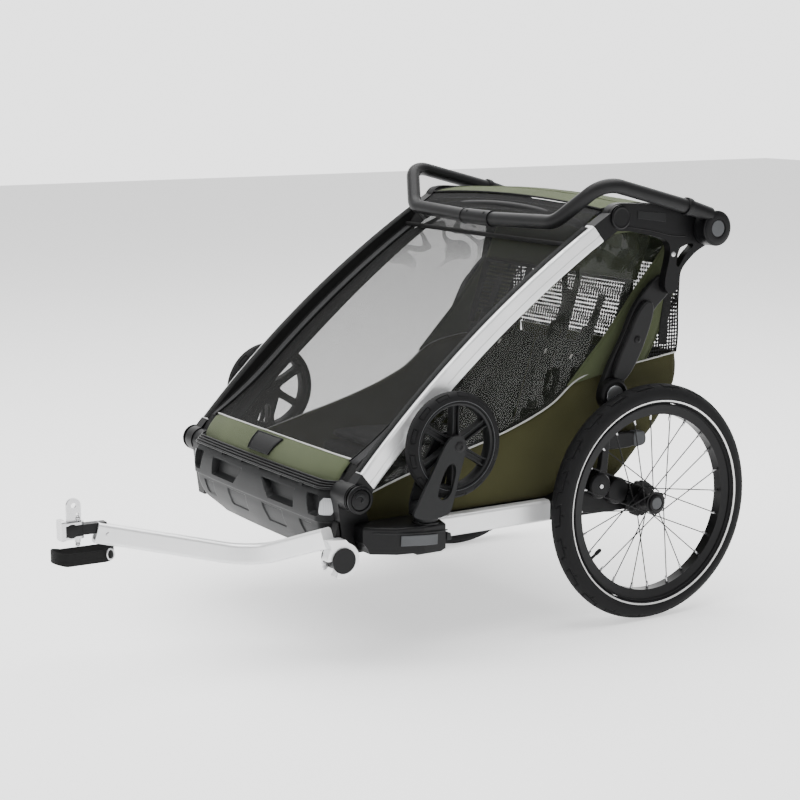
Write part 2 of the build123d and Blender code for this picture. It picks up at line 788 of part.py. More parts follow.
def make_spokes(side):
    """Spokes from both hub flanges, crossing in pairs, each its own solid."""
    foot_r = hub_flange_r + 1.4
    head_r = rim_inner_r - 0.3
    with BuildPart() as spokes:
        for index in range(spoke_count):
            flange = 1 if index % 2 else -1
            lead = 1 if index % 4 < 2 else -1
            head_angle = 2 * index / spoke_count * 180
            foot_angle = head_angle + lead * 62
            ends = []
            for radius, angle, x in (
                (foot_r, foot_angle, flange * 18 + lead * 2.6), (head_r, head_angle, flange * 3),
            ):
                turn = radians(angle)
                ends.append(Vector(
                    side * wheel_x + x, axle_y + radius * sin(turn), axle_z + radius * cos(turn),
                ))
            run = ends[1] - ends[0]
            with BuildSketch(Plane(origin=ends[0], z_dir=run)):
                Circle(spoke_r)
            extrude(amount=run.length)
    return spokes


def make_hub(side):
    half = tyre_r
    with BuildPart() as hub:
        with BuildSketch(wheel_plane(side)):
            with BuildLine():
                Polyline(
                    (-half, 0), (-half, 17), (-21, 18), (-21, hub_flange_r), (-17, hub_flange_r),
                    (-16, 15), (16, 15), (17, hub_flange_r), (21, hub_flange_r), (21, 19), (half, 19),
                    (half, 0), close=True,
                )
            make_face()
        revolve(axis=axle_line)
        with BuildSketch(side_plane(side * (wheel_x - half))):
            with Locations((0, drawn_axle)):
                Circle(axle_r + running_gap)
        extrude(amount=side * (tyre_width - hub_recess), mode=Mode.SUBTRACT)
        with BuildSketch(side_plane(side * (wheel_x + half - hub_recess))):
            with Locations((0, drawn_axle)):
                Circle(hub_button_r)
        extrude(amount=side * hub_recess, mode=Mode.SUBTRACT)
    return hub


for side, name in ((1, "left"), (-1, "right")):
    save(make_tyre(side), f"tyre_{name}")
    save(make_rim(side), f"rim_{name}")
    save(make_spokes(side), f"spokes_{name}")
    save(make_hub(side), f"wheel_hub_{name}")
    save(round_button(wheel_x + tyre_r, (0, drawn_axle), hub_button_r, side), f"wheel_button_{name}")

# ---- casters: stem, fork and wheel, stowed upside down on the docks ----
fork_gap = 3.0
fork_arm = 6.0
fork_cup_r = 25.0
fork_cup_top = 318.0
fork_foot = 291.0
stem_neck_r = 8.0
caster_axle_r = 5.0
caster_inner = caster_x - caster_width / 2 - fork_gap
caster_outer = caster_x + caster_width / 2 + fork_gap


def make_stem(side):
    with BuildPart() as stem:
        with BuildSketch(level_plane(dock_bottom + dock_web + 2)):
            with Locations((side * caster_x, caster_stem_y)):
                Circle(caster_stem_r - running_gap)
        extrude(amount=dock_top - dock_bottom - dock_web - 2)
        with BuildSketch(level_plane(dock_top + seat_gap)):
            with Locations((side * caster_x, caster_stem_y)):
                Circle(caster_stem_r + 9)
        extrude(amount=5)
        with BuildSketch(level_plane(dock_top)):
            with Locations((side * caster_x, caster_stem_y)):
                Circle(stem_neck_r)
        extrude(amount=fork_cup_top - 6 - dock_top)
    return stem


def make_fork(side):
    with BuildPart() as fork:
        with BuildSketch(level_plane(fork_foot)):
            with Locations((side * caster_x, caster_stem_y)):
                Circle(fork_cup_r)
        extrude(amount=fork_cup_top - fork_foot)
        chamfer(fork.faces().sort_by(Axis.Z)[0].edges(), 3)
        for x in (caster_inner - fork_arm, caster_outer):
            with BuildSketch(side_plane(side * x)):
                tapered_bar((caster_stem_y + 2, fork_cup_top + 2), caster_axle, 23, 15)
                tapered_bar((-540, 352), (-517, 402), 10, 6)
                with BuildLine():
                    Polyline((-640, fork_foot), (-440, fork_foot), (-440, 260), (-640, 260), close=True)
                make_face(mode=Mode.SUBTRACT)
            extrude(amount=side * fork_arm)
        for x in (caster_inner - fork_arm, caster_outer):
            with BuildSketch(side_plane(side * x)):
                tapered_bar((-543, 350), (-517, 402), 9, 6)
            extrude(amount=side * fork_arm, mode=Mode.SUBTRACT)
        with BuildSketch(side_plane(side * caster_inner)):
            with Locations(caster_axle):
                Circle(caster_axle_r)
        extrude(amount=side * (caster_outer - caster_inner))
        with BuildSketch(level_plane(fork_foot)):
            with Locations((side * caster_x, caster_stem_y)):
                Circle(stem_neck_r + running_gap)
        extrude(amount=fork_cup_top - 5 - fork_foot, mode=Mode.SUBTRACT)
    return fork


def caster_disc_plane(side):
    return Plane(origin=at_axle(side * caster_x, *caster_axle), x_dir=(1, 0, 0), z_dir=(0, -1, 0))


caster_rim_r = 84.0
caster_spokes = 6
caster_line = Axis(at_axle(0, *caster_axle), (1, 0, 0))


def make_caster_wheel(side):
    """A spoked plastic rim and the solid tyre around it, as two solids."""
    half = caster_width / 2
    with BuildPart() as rim:
        with BuildSketch(caster_disc_plane(side)):
            with Locations((0, caster_rim_r - 4)):
                Rectangle(caster_width - 8, 8)
            with Locations((0, 10)):
                Rectangle(caster_width, 10)
        revolve(axis=caster_line)
        with BuildSketch(side_plane(side * caster_x - half / 2)):
            with Locations(caster_axle):
                with PolarLocations(45, caster_spokes):
                    Rectangle(66, 13)
        extrude(amount=half)
        with BuildSketch(side_plane(side * caster_x - half)):
            with Locations(caster_axle):
                Circle(caster_axle_r + running_gap)
        extrude(amount=caster_width, mode=Mode.SUBTRACT)
    with BuildPart() as tyre:
        with BuildSketch(caster_disc_plane(side)):
            with Locations((0, (caster_radius + caster_rim_r) / 2)):
                RectangleRounded(caster_width, caster_radius - caster_rim_r, 8)
        revolve(axis=caster_line)
    return [rim.part, tyre.part]


def save_group(parts, name):
    group = Compound(label=name, children=parts)
    export_step(group, f"parts/{name}.step")


for side, name in ((1, "left"), (-1, "right")):
    save(make_stem(side), f"caster_stem_{name}")
    save(make_fork(side), f"caster_fork_{name}")
    save_group(make_caster_wheel(side), f"caster_wheel_{name}")

# ---- brake pedal ----
pedal_end = (22.0, 373.0)
with BuildPart() as pedal:
    with BuildSketch(side_plane(pedal_inner)):
        tapered_bar(pedal_pivot, pedal_end, 11, 9)
        with Locations((pedal_end[0] + 2, pedal_end[1])):
            RectangleRounded(22, 24, 6)
    extrude(amount=pedal_outer - pedal_inner)
    with BuildSketch(side_plane(pedal_inner)):
        with Locations(pedal_pivot):
            Circle(pin_r - 1 + running_gap)
    extrude(amount=pedal_outer - pedal_inner, mode=Mode.SUBTRACT)
save(pedal, "brake_pedal")

# ---- tow arm, yoke, hitch and strap ----
with BuildPart() as tow_arm:
    with BuildLine():
        arm_route = FilletPolyline(*[at_axle(*point) for point in arm_path], radius=arm_bend_r)
    with BuildSketch(Plane(origin=arm_route @ 0, x_dir=(1, 0, 0), z_dir=arm_route % 0)):
        RectangleRounded(arm_width, arm_height, 7)
    sweep()
    with BuildSketch(Plane(origin=arm_route @ 0, x_dir=(1, 0, 0), z_dir=arm_route % 0)):
        Rectangle(arm_width - 8, arm_height - 12)
    extrude(amount=26, mode=Mode.SUBTRACT)
save(tow_arm, "tow_arm")

yoke_r = 35.0
yoke_inner = 321.5
yoke_outer = 344.0
with BuildPart() as yoke:
    with BuildSketch(side_plane(yoke_inner)):
        with Locations(arm_pivot):
            Circle(yoke_r)
        with BuildLine():
            Polyline(
                (arm_pivot[0] - 22, arm_pivot[1] + 20), (arm_pivot[0] - 34, arm_pivot[1] + 44),
                (arm_pivot[0] + 6, arm_pivot[1] + 40), (arm_pivot[0] + 24, arm_pivot[1] + 20), close=True,
            )
        make_face()
        with Locations(arm_pivot):
            Circle(arm_core_r + running_gap, mode=Mode.SUBTRACT)
        with BuildLine():
            Polyline(
                arm_pivot, (arm_pivot[0] - 60, arm_pivot[1] + 4), (arm_pivot[0] - 60, arm_pivot[1] - 60),
                (arm_pivot[0] - 30, arm_pivot[1] - 60), close=True,
            )
        make_face(mode=Mode.SUBTRACT)
    extrude(amount=yoke_outer - yoke_inner)
    add(tow_arm.part, mode=Mode.SUBTRACT)
save(yoke, "tow_arm_yoke")

clevis_gap = 22.0
clevis_plate = 5.0
plug_height = 20.0
hitch_pin_r = 4.0
with BuildPart() as plug:
    with BuildSketch(level_plane(hitch_level - plug_height / 2)):
        with Locations(hitch_pin_at):
            Circle(12)
        with BuildLine():
            Polyline(
                (hitch_pin_at[0] - 10, hitch_pin_at[1]), (hitch_pin_at[0] + 10, hitch_pin_at[1]),
                (arm_path[0][0] + 9, arm_path[0][1] + 20), (arm_path[0][0] - 9, arm_path[0][1] + 20),
                close=True,
            )
        make_face()
    extrude(amount=plug_height)
    with BuildSketch(level_plane(hitch_level - plug_height / 2)):
        with Locations(hitch_pin_at):
            Circle(hitch_pin_r + running_gap)
    extrude(amount=plug_height, mode=Mode.SUBTRACT)
    add(tow_arm.part, mode=Mode.SUBTRACT)
save(plug, "tow_arm_plug")

hitch_x = hitch_pin_at[0]
with BuildPart() as hitch:
    for level in (hitch_level - clevis_gap / 2 - clevis_plate, hitch_level + clevis_gap / 2):
        with BuildSketch(level_plane(level)):
            with Locations(hitch_pin_at):
                Circle(12)
            with Locations((hitch_x, hitch_pin_at[1] - 14)):
                Rectangle(24, 28)
        extrude(amount=clevis_plate)
    with BuildSketch(front_plane(hitch_pin_at[1] - 28)):
        with Locations((hitch_x, hitch_level + 2)):
            RectangleRounded(28, clevis_gap + 18, 5)
    extrude(amount=8)
    with BuildSketch(side_plane(hitch_x - hitch_plate / 2)):
        with Locations(hitch_bore):
            Circle(14)
        with Locations((hitch_bore[0], (hitch_bore[1] + hitch_level + clevis_gap / 2) / 2)):
            Rectangle(28, hitch_bore[1] - hitch_level - clevis_gap / 2)
        with Locations(hitch_bore):
            Circle(hitch_bore_r, mode=Mode.SUBTRACT)
    extrude(amount=hitch_plate)
    with BuildSketch(level_plane(hitch_level - 40)):
        with Locations(hitch_pin_at):
            Circle(hitch_pin_r)
    extrude(amount=clevis_gap + 50, mode=Mode.SUBTRACT)
    with BuildSketch(side_plane(hitch_x - hitch_plate)):
        with Locations(hitch_bore):
            Circle(hitch_bore_r)
    extrude(amount=2 * hitch_plate, mode=Mode.SUBTRACT)
save(hitch, "hitch_bracket")

with BuildPart() as hitch_pin:
    with BuildSketch(level_plane(hitch_level - clevis_gap / 2 - clevis_plate - 4)):
        with Locations(hitch_pin_at):
            Circle(hitch_pin_r)
    extrude(amount=clevis_gap + clevis_plate + 8)
    with BuildSketch(level_plane(hitch_level - clevis_gap / 2 - clevis_plate - 8)):
        with Locations(hitch_pin_at):
            Circle(hitch_pin_r + 1.5)
    extrude(amount=8)
save(hitch_pin, "hitch_pin")

strap_width = 26.0
strap_gauge = 2.5
strap_half = 24.0
strap_ends = (strap_half - tow_reach, hitch_pin_at[1] + 46.0)
strap_bottom = 224.2        # the strap's upper edge meets the plug's lower face
with BuildPart() as strap:
    with BuildSketch(level_plane(strap_bottom)):
        with Locations((hitch_x, (strap_ends[0] + strap_ends[1]) / 2)):
            SlotCenterToCenter(strap_ends[1] - strap_ends[0], 2 * strap_half, rotation=90)
            SlotCenterToCenter(
                strap_ends[1] - strap_ends[0], 2 * (strap_half - strap_gauge), rotation=90,
                mode=Mode.SUBTRACT,
            )
    extrude(amount=strap_width)
save(strap, "safety_strap")

# ---- soft parts of the cabin ----
seat_half = 268.0
seat_floor = floor_bottom + floor_thickness + seat_gap
with BuildPart() as seat_base:
    with BuildSketch(side_plane(-seat_half)):
        with BuildLine():
            Polyline(
                (-430, seat_floor), (-436, 344), (-112, 326 - seat_gap), (-84, 322 - seat_gap),
                (-80, seat_floor), close=True,
            )
        make_face()
    extrude(amount=2 * seat_half)
save(seat_base, "seat_base")

with BuildPart() as seat_back:
    with BuildSketch(side_plane(-seat_half)):
        with BuildLine():
            Polyline((-112, 326), (-84, 322), (34, 706), (8, 712), close=True)
        make_face()
    extrude(amount=2 * seat_half)
save(seat_back, "seat_back")

with BuildPart() as harness:
    for seat_x in (-134, 134):
        for offset_x in (-58, 58):
            with BuildSketch(side_plane(seat_x + offset_x - 14)):
                with BuildLine():
                    Polyline((-114.5, 331), (-111.4, 330), (-8.8, 660), (-12, 661), close=True)
                make_face()
            extrude(amount=28)
save(harness, "harness_straps")

with BuildPart() as side_panels:
    with BuildSketch(side_plane(panel_x - fabric)):
        with BuildLine():
            top_edge = Spline(
                (-660, 326), (-548, 358), (-337, 412), (-210, 459), (-136, 509), (-58, 527), (10, 531),
                (126, 546),
            )
            Polyline(
                top_edge @ 1, (122, 480), (88, 416), (-40, 290), (-90, 272), (-660, 272), top_edge @ 0,
            )
        make_face()
    extrude(amount=fabric)
    mirror(about=Plane.YZ)
save(side_panels, "side_panels")

with BuildPart() as side_windows:
    with BuildSketch(side_plane(panel_x - fabric)):
        with BuildLine():
            low_edge = Spline(
                (-640, 334), (-548, 359), (-337, 413), (-210, 460), (-136, 510), (-58, 528), (10, 532),
                (126, 547),
            )
            Polyline(low_edge @ 1, (122, 690), (92, 780), (30, 830), (-70, 826))
            Spline((-70, 826), (-230, 712), (-440, 545), low_edge @ 0)
        make_face()
    extrude(amount=fabric)
    mirror(about=Plane.YZ)
save(side_windows, "side_windows")

with BuildPart() as rear_cover:
    with BuildSketch(side_plane(-(panel_x - fabric - seat_gap))):
        with BuildLine():
            back = Polyline(
                (84, 848), (134, 742), (130, 690), (128, 546), (124, 480), (90, 416), (-30, 296),
            )
            offset(back, amount=fabric, side=Side.RIGHT)
        make_face()
    extrude(amount=2 * (panel_x - fabric - seat_gap))
save(rear_cover, "rear_cover")
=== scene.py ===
"""Looks of the two-seat child bicycle trailer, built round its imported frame.

Points are (x, y, z) in millimetres: left of the middle, behind the wheel axle and above the ground.
at() turns them into the frame's metres. Side views are (y, z) pairs.
"""
import json
import math

import bmesh
import bpy
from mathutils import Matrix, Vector, noise
from mathutils.geometry import tessellate_polygon


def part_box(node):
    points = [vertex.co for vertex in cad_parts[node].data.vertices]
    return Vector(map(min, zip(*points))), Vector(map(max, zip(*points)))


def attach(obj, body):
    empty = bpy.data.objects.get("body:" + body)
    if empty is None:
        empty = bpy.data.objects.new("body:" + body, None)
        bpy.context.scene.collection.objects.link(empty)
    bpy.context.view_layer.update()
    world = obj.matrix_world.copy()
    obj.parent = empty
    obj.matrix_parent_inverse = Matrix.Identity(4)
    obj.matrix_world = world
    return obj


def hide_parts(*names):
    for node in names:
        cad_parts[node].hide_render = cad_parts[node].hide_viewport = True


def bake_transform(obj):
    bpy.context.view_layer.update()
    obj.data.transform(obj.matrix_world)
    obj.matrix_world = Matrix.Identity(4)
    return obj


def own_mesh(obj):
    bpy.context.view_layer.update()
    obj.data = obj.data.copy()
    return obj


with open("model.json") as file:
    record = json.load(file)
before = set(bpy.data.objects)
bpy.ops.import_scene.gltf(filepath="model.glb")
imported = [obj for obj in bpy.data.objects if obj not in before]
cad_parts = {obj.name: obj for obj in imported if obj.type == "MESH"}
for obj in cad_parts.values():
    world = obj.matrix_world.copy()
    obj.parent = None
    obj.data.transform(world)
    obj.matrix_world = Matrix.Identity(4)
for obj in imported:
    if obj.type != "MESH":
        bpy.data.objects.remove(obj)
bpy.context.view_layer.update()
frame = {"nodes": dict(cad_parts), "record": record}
scene = bpy.context.scene
axle_low, axle_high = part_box("axle_tube")
axle_y = (axle_low.y + axle_high.y) / 2
axle_z = (axle_low.z + axle_high.z) / 2 * 1000
SIDES = (("left", 1), ("right", -1))
UP = Vector((0, 0, 1))
ACROSS = Vector((1, 0, 0))
STRAP_FACE = Vector((0, -1, 0.3))  # the way a harness strap's flat side looks

# ---- places on the frame, repeated from its drawing ----
FOLD_PIVOT = (-701, 341)
TOP_PIVOT = (-78, 847)
MID_PIVOT = (-75, 478)
GRIP = (-188, 829)
STEM_Y = -565
BAR_PIVOT = (158, 816)
ARM_PIVOT = (-728, 222)
TUBE_BOW = 33
WHEEL_X = 366
WHEEL_R = 250
TYRE_R = 23.5
RIM_INNER = 187
SPOKES = 24
CASTER_X = 380
CASTER_AXLE = (-503, 429)
CASTER_R = 105
HITCH = (94, -1162, 290)
PANEL_X = 285.5


def at(x, y, z):
    """A place in millimetres from the axle and the ground, in the frame's metres."""
    return Vector((x / 1000, y / 1000 + axle_y, z / 1000))


# ---- geometry helpers ----
def make(name, points, faces, material, smooth=True):
    """A mesh piece from points in millimetres."""
    data = bpy.data.meshes.new(name)
    data.from_pydata([at(*point) for point in points], [], faces)
    data.validate()
    shell = bmesh.new()
    shell.from_mesh(data)
    bmesh.ops.recalc_face_normals(shell, faces=shell.faces)
    shell.to_mesh(data)
    shell.free()
    data.polygons.foreach_set("use_smooth", [smooth] * len(data.polygons))
    data.set_sharp_from_angle(angle=math.radians(40))
    data.materials.append(material)
    piece = bpy.data.objects.new(name, data)
    scene.collection.objects.link(piece)
    return piece


def lattice(rows, wrap_rows=False, wrap_columns=False, caps=False):
    """Points and quads of rows of points, with the first and last row closed by a face if caps."""
    height, width = len(rows), len(rows[0])
    points = [point for row in rows for point in row]
    faces = []
    for i in range(height if wrap_rows else height - 1):
        for j in range(width if wrap_columns else width - 1):
            below, beside = (i + 1) % height, (j + 1) % width
            faces.append((i * width + j, i * width + beside, below * width + beside, below * width + j))
    if caps:
        faces.append(tuple(range(width)))
        faces.append(tuple((height - 1) * width + j for j in reversed(range(width))))
    return points, faces


def join(parts):
    """One set of points and faces from several."""
    points, faces = [], []
    for more_points, more_faces in parts:
        start = len(points)
        points += more_points
        faces += [tuple(start + index for index in face) for face in more_faces]
    return points, faces


def spline_point(before, here, there, after, t):
    """The point at t, 0 to 1, of the Catmull-Rom span from here to there."""
    return 0.5 * (
        2 * here + (there - before) * t + (2 * before - 5 * here + 4 * there - after) * t ** 2
        + (3 * here - before - 3 * there + after) * t ** 3
    )


def through(control, steps=8):
    """A smooth line through control points."""
    control = [Vector(point) for point in control]
    last = len(control) - 1
    line = []
    for i in range(last):
        span = control[max(i - 1, 0)], control[i], control[i + 1], control[min(i + 2, last)]
        line += [spline_point(*span, step / steps) for step in range(steps)]
    line.append(control[-1])
    return line


def along_line(line, share):
    """The point at a share, 0 to 1, of the way along a line of points."""
    place = share * (len(line) - 1)
    index = min(int(place), len(line) - 2)
    return line[index].lerp(line[index + 1], place - index)


def swept(path, section, up=UP, closed=False):
    """Points and faces of a section of (across, up) pairs carried along a path."""
    path = [Vector(point) for point in path]
    rows = []
    for i, point in enumerate(path):
        before = path[i - 1] if i or closed else point
        after = path[(i + 1) % len(path)] if i + 1 < len(path) or closed else point
        heading = (after - before).normalized()
        across = heading.cross(up).normalized()
        rise = across.cross(heading)
        rows.append([point + across * a + rise * b for a, b in section])
    return lattice(rows, wrap_rows=closed, wrap_columns=True, caps=not closed)


def round_section(radius, sides=12):
    turns = [2 * math.pi * k / sides for k in range(sides)]
    return [(radius * math.cos(t), radius * math.sin(t)) for t in turns]


def rod(path, radius, up=UP, closed=False):
    """Points and faces of a thin round rod, seam or hem along a path."""
    return swept(path, round_section(radius, 8), up, closed)


def flat_section(width, thickness):
    """A strap's section with rounded edges."""
    half, edge = width / 2, thickness / 2
    return [
        (-half, 0), (-half + edge, edge), (half - edge, edge), (half, 0), (half - edge, -edge),
        (-half + edge, -edge),
    ]


def upright_section(height, thickness):
    """A strap standing on its edge."""
    return [(b, a) for a, b in flat_section(height, thickness)]


def turned(centre, profile, steps=48, axis=ACROSS):
    """Points and faces of a profile of (radius, along) pairs turned round an axis through centre."""
    side = axis.cross(UP if abs(axis.z) < 0.9 else ACROSS).normalized()
    other = axis.cross(side)
    rows = []
    for radius, along in profile:
        ring = []
        for k in range(steps):
            turn = 2 * math.pi * k / steps
            out = side * math.cos(turn) + other * math.sin(turn)
            ring.append(Vector(centre) + axis * along + out * radius)
        rows.append(ring)
    return lattice(rows, wrap_columns=True, caps=True)


def sided(profile, side):
    """A (radius, along) profile that points outwards on either side."""
    return [(radius, side * along) for radius, along in profile]


def prism(outline, low, high):
    """Points and faces of a side-view outline between two x values."""
    width = len(outline)
    points = [(x, y, z) for x in (low, high) for y, z in outline]
    faces = [tuple(reversed(range(width))), tuple(range(width, 2 * width))]
    for j in range(width):
        beside = (j + 1) % width
        faces.append((j, beside, width + beside, width + j))
    return points, faces


def plate(outer, holes, low, high):
    """Points and faces of a side-view outline with holes, between two x values."""
    loops = [outer] + holes
    flat = [point for loop in loops for point in loop]
    size = len(flat)
    points = [(low, y, z) for y, z in flat] + [(high, y, z) for y, z in flat]
    faces = []
    for a, b, c in tessellate_polygon([[Vector((y, z, 0)) for y, z in loop] for loop in loops]):
        faces += [(a, b, c), (size + c, size + b, size + a)]
    start = 0
    for loop in loops:
        for j in range(len(loop)):
            here, beside = start + j, start + (j + 1) % len(loop)
            faces.append((here, beside, size + beside, size + here))
        start += len(loop)
    return points, faces


def rounded(outline, steps=5):
    """A closed smooth loop through an outline's points."""
    count = len(outline)
    loop = []
    for i in range(count):
        span = [Vector((*outline[(i + k) % count], 0)) for k in (-1, 0, 1, 2)]
        for step in range(steps):
            point = spline_point(*span, step / steps)
            loop.append((point.x, point.y))
    return loop


def ruled(edge_a, edge_b, rows, columns, bulge=None):
    """Points and quads of a sheet between two lines; bulge(u, v) gives a push as a vector."""
    grid = []
    for i in range(rows + 1):
        v = i / rows
        row = []
        for j in range(columns + 1):
            u = j / columns
            point = along_line(edge_a, u).lerp(along_line(edge_b, u), v)
            row.append(point + bulge(u, v) if bulge else point)
        grid.append(row)
    return lattice(grid)


def ribs(start, step, count, shape):
    """Repeats one set of points and faces along a step."""
    start, step = Vector(start), Vector(step)
    points, faces = shape
    return join([([Vector(point) + start + step * k for point in points], faces) for k in range(count)])


def bevel(piece, width, segments=2):
    modifier = piece.modifiers.new("edge", "BEVEL")
    modifier.width = width / 1000
    modifier.segments = segments
    modifier.limit_method = "ANGLE"
    return piece


def thicken(piece, thickness):
    modifier = piece.modifiers.new("gauge", "SOLIDIFY")
    modifier.thickness = thickness / 1000
    modifier.offset = 0
    return piece


def subdivide(piece, levels=1):
    modifier = piece.modifiers.new("smooth", "SUBSURF")
    modifier.levels = levels
    modifier.render_levels = levels
    return piece


def on_tube(along, off=0.0):
    """The side-view point on the bowed front tube, off above its centre line, as in its drawing."""
    run_y, run_z = TOP_PIVOT[0] - FOLD_PIVOT[0], TOP_PIVOT[1] - FOLD_PIVOT[1]
    chord = math.hypot(run_y, run_z)
    ahead_y, ahead_z = run_y / chord, run_z / chord
    share = 2 * along / chord - 1
    rise = TUBE_BOW * (1 - share * share) + off
    return (FOLD_PIVOT[0] + ahead_y * along - ahead_z * rise,
            FOLD_PIVOT[1] + ahead_z * along + ahead_y * rise)


# ---- materials ----
def base_material(name, roughness, metallic=0.0):
    material = bpy.data.materials.new(name)
    material.use_nodes = True
    shader = material.node_tree.nodes["Principled BSDF"]
    shader.inputs["Roughness"].default_value = roughness
    shader.inputs["Metallic"].default_value = metallic
    shader.inputs["Specular IOR Level"].default_value = 0.2
    return material, material.node_tree, shader


def noise_node(tree, scale, detail=3.0, stretch=(1, 1, 1)):
    place = tree.nodes.new("ShaderNodeTexCoord")
    mapping = tree.nodes.new("ShaderNodeMapping")
    mapping.inputs["Scale"].default_value = stretch
    grain = tree.nodes.new("ShaderNodeTexNoise")
    grain.inputs["Scale"].default_value = scale
    grain.inputs["Detail"].default_value = detail
    tree.links.new(place.outputs["Object"], mapping.inputs["Vector"])
    tree.links.new(mapping.outputs["Vector"], grain.inputs["Vector"])
    return grain.outputs["Fac"]


def math_node(tree, operation, first, second=None):
    node = tree.nodes.new("ShaderNodeMath")
    node.operation = operation
    for socket, value in zip(node.inputs, (first, second)):
        if isinstance(value, (int, float)):
            socket.default_value = value
        elif value is not None:
            tree.links.new(value, socket)
    return node.outputs[0]


def varied_colour(tree, shader, colour, fac, spread):
    """Base colour between a darker and a lighter tone of itself."""
    ramp = tree.nodes.new("ShaderNodeValToRGB")
    ramp.color_ramp.elements[0].position = 0.3
    ramp.color_ramp.elements[1].position = 0.7
    ramp.color_ramp.elements[0].color = [c * (1 - spread) for c in colour] + [1]
    ramp.color_ramp.elements[1].color = [min(c * (1 + spread), 1) for c in colour] + [1]
    tree.links.new(fac, ramp.inputs["Fac"])
    tree.links.new(ramp.outputs["Color"], shader.inputs["Base Color"])


def map_range(tree, value, from_min=0.0, from_max=1.0, to_min=0.0, to_max=1.0):
    node = tree.nodes.new("ShaderNodeMapRange")
    limits = {"From Min": from_min, "From Max": from_max, "To Min": to_min, "To Max": to_max}
    for name, limit in limits.items():
        node.inputs[name].default_value = limit
    tree.links.new(value, node.inputs["Value"])
    return node.outputs["Result"]


def varied_roughness(tree, shader, fac, low, high):
    tree.links.new(map_range(tree, fac, to_min=low, to_max=high), shader.inputs["Roughness"])


def add_bump(tree, shader, height, strength, distance):
    bump = tree.nodes.new("ShaderNodeBump")
    bump.inputs["Strength"].default_value = strength
    bump.inputs["Distance"].default_value = distance
    tree.links.new(height, bump.inputs["Height"])
    tree.links.new(bump.outputs["Normal"], shader.inputs["Normal"])


def thread_wave(tree, direction, pitch):
    """A sine along a direction with one wave every pitch millimetres."""
    place = tree.nodes.new("ShaderNodeTexCoord")
    dot = tree.nodes.new("ShaderNodeVectorMath")
    dot.operation = "DOT_PRODUCT"
    dot.inputs[1].default_value = Vector(direction) * (2000 * math.pi / pitch)
    tree.links.new(place.outputs["Object"], dot.inputs[0])
    return math_node(tree, "SINE", dot.outputs["Value"])


def crossed_threads(tree, u_dir, v_dir, pitch):
    return math_node(tree, "MULTIPLY", thread_wave(tree, u_dir, pitch), thread_wave(tree, v_dir, pitch))


def plastic(name, colour, roughness=0.5, grain=900, depth=0.15):
    material, tree, shader = base_material(name, roughness)
    cloud = noise_node(tree, 12)
    varied_colour(tree, shader, colour, cloud, 0.12)
    varied_roughness(tree, shader, cloud, roughness - 0.06, roughness + 0.08)
    add_bump(tree, shader, noise_node(tree, grain, 2), depth, 0.0004)
    return material


def metal(name, colour, roughness=0.3, metallic=1.0, spread=0.04, stretch=(1, 1, 1)):
    material, tree, shader = base_material(name, roughness, metallic)
    varied_colour(tree, shader, colour, noise_node(tree, 9), spread)
    varied_roughness(tree, shader, noise_node(tree, 60, 4, stretch), roughness - 0.05, roughness + 0.07)
    add_bump(tree, shader, noise_node(tree, 700, 2, stretch), 0.06, 0.0003)
    return material


def woven(name, colour, pitch, u_dir, v_dir, roughness=0.85, spread=0.12, sheen=0.06, depth=0.35):
    """A plain weave: two sets of threads, with slow tone changes as cloth has."""
    material, tree, shader = base_material(name, roughness)
    shader.inputs["Sheen Weight"].default_value = sheen
    shader.inputs["Specular IOR Level"].default_value = 0.12
    shader.inputs["Sheen Roughness"].default_value = 0.5
    threads = crossed_threads(tree, u_dir, v_dir, pitch)
    cloud = noise_node(tree, 7, 5)
    tone = math_node(tree, "ADD", cloud, math_node(tree, "MULTIPLY", threads, 0.12))
    varied_colour(tree, shader, colour, tone, spread)
    creases = math_node(tree, "MULTIPLY", noise_node(tree, 22, 4), 1.6)
    add_bump(tree, shader, math_node(tree, "ADD", threads, creases), depth, 0.0006)
    return material


def netting(name, colour, pitch, u_dir, v_dir, cover, hole_alpha=0.0):
    """Mesh cloth: holes between threads. cover is the share of the wave that is thread."""
    material, tree, shader = base_material(name, 0.8)
    threads = crossed_threads(tree, u_dir, v_dir, pitch)
    varied_colour(tree, shader, colour, noise_node(tree, 18), 0.15)
    hole = map_range(tree, threads, cover - 0.12, cover + 0.12, 1.0, hole_alpha)
    tree.links.new(hole, shader.inputs["Alpha"])
    add_bump(tree, shader, threads, 0.4, 0.0005)
    return material


def film(name, colour, alpha):
    """Clear vinyl; near its top, where it hangs loose, its opacity carries darker waves: a painted reflection
    of its gloss.
    """
    material, tree, shader = base_material(name, 0.05)
    shader.inputs["IOR"].default_value = 1.5
    shader.inputs["Specular IOR Level"].default_value = 0.5
    ripples = noise_node(tree, 9, 2, (1, 1.6, 0.8))
    varied_colour(tree, shader, colour, ripples, 0.1)
    waves = noise_node(tree, 7, 1, (1, 1, 1.7))
    bands = math_node(tree, "SINE", math_node(tree, "MULTIPLY", waves, 34))
    place = tree.nodes.new("ShaderNodeTexCoord")
    split = tree.nodes.new("ShaderNodeSeparateXYZ")
    tree.links.new(place.outputs["Object"], split.inputs["Vector"])
    # Painted reflection: darker waves near the top, added to the opacity.
    loose = map_range(tree, split.outputs["Z"], 0.68, 0.78, to_max=0.34)
    dark = map_range(tree, bands, 0.25, 0.5)
    painted_reflection_share = math_node(tree, "MULTIPLY", loose, dark)
    tree.links.new(math_node(tree, "ADD", painted_reflection_share, alpha), shader.inputs["Alpha"])
    add_bump(tree, shader, ripples, 0.9, 0.02)
    return material


def rubber(name, colour):
    material, tree, shader = base_material(name, 0.7)
    cloud = noise_node(tree, 25, 4)
    varied_colour(tree, shader, colour, cloud, 0.2)
    varied_roughness(tree, shader, cloud, 0.62, 0.82)
    add_bump(tree, shader, noise_node(tree, 1200, 3), 0.3, 0.0003)
    return material


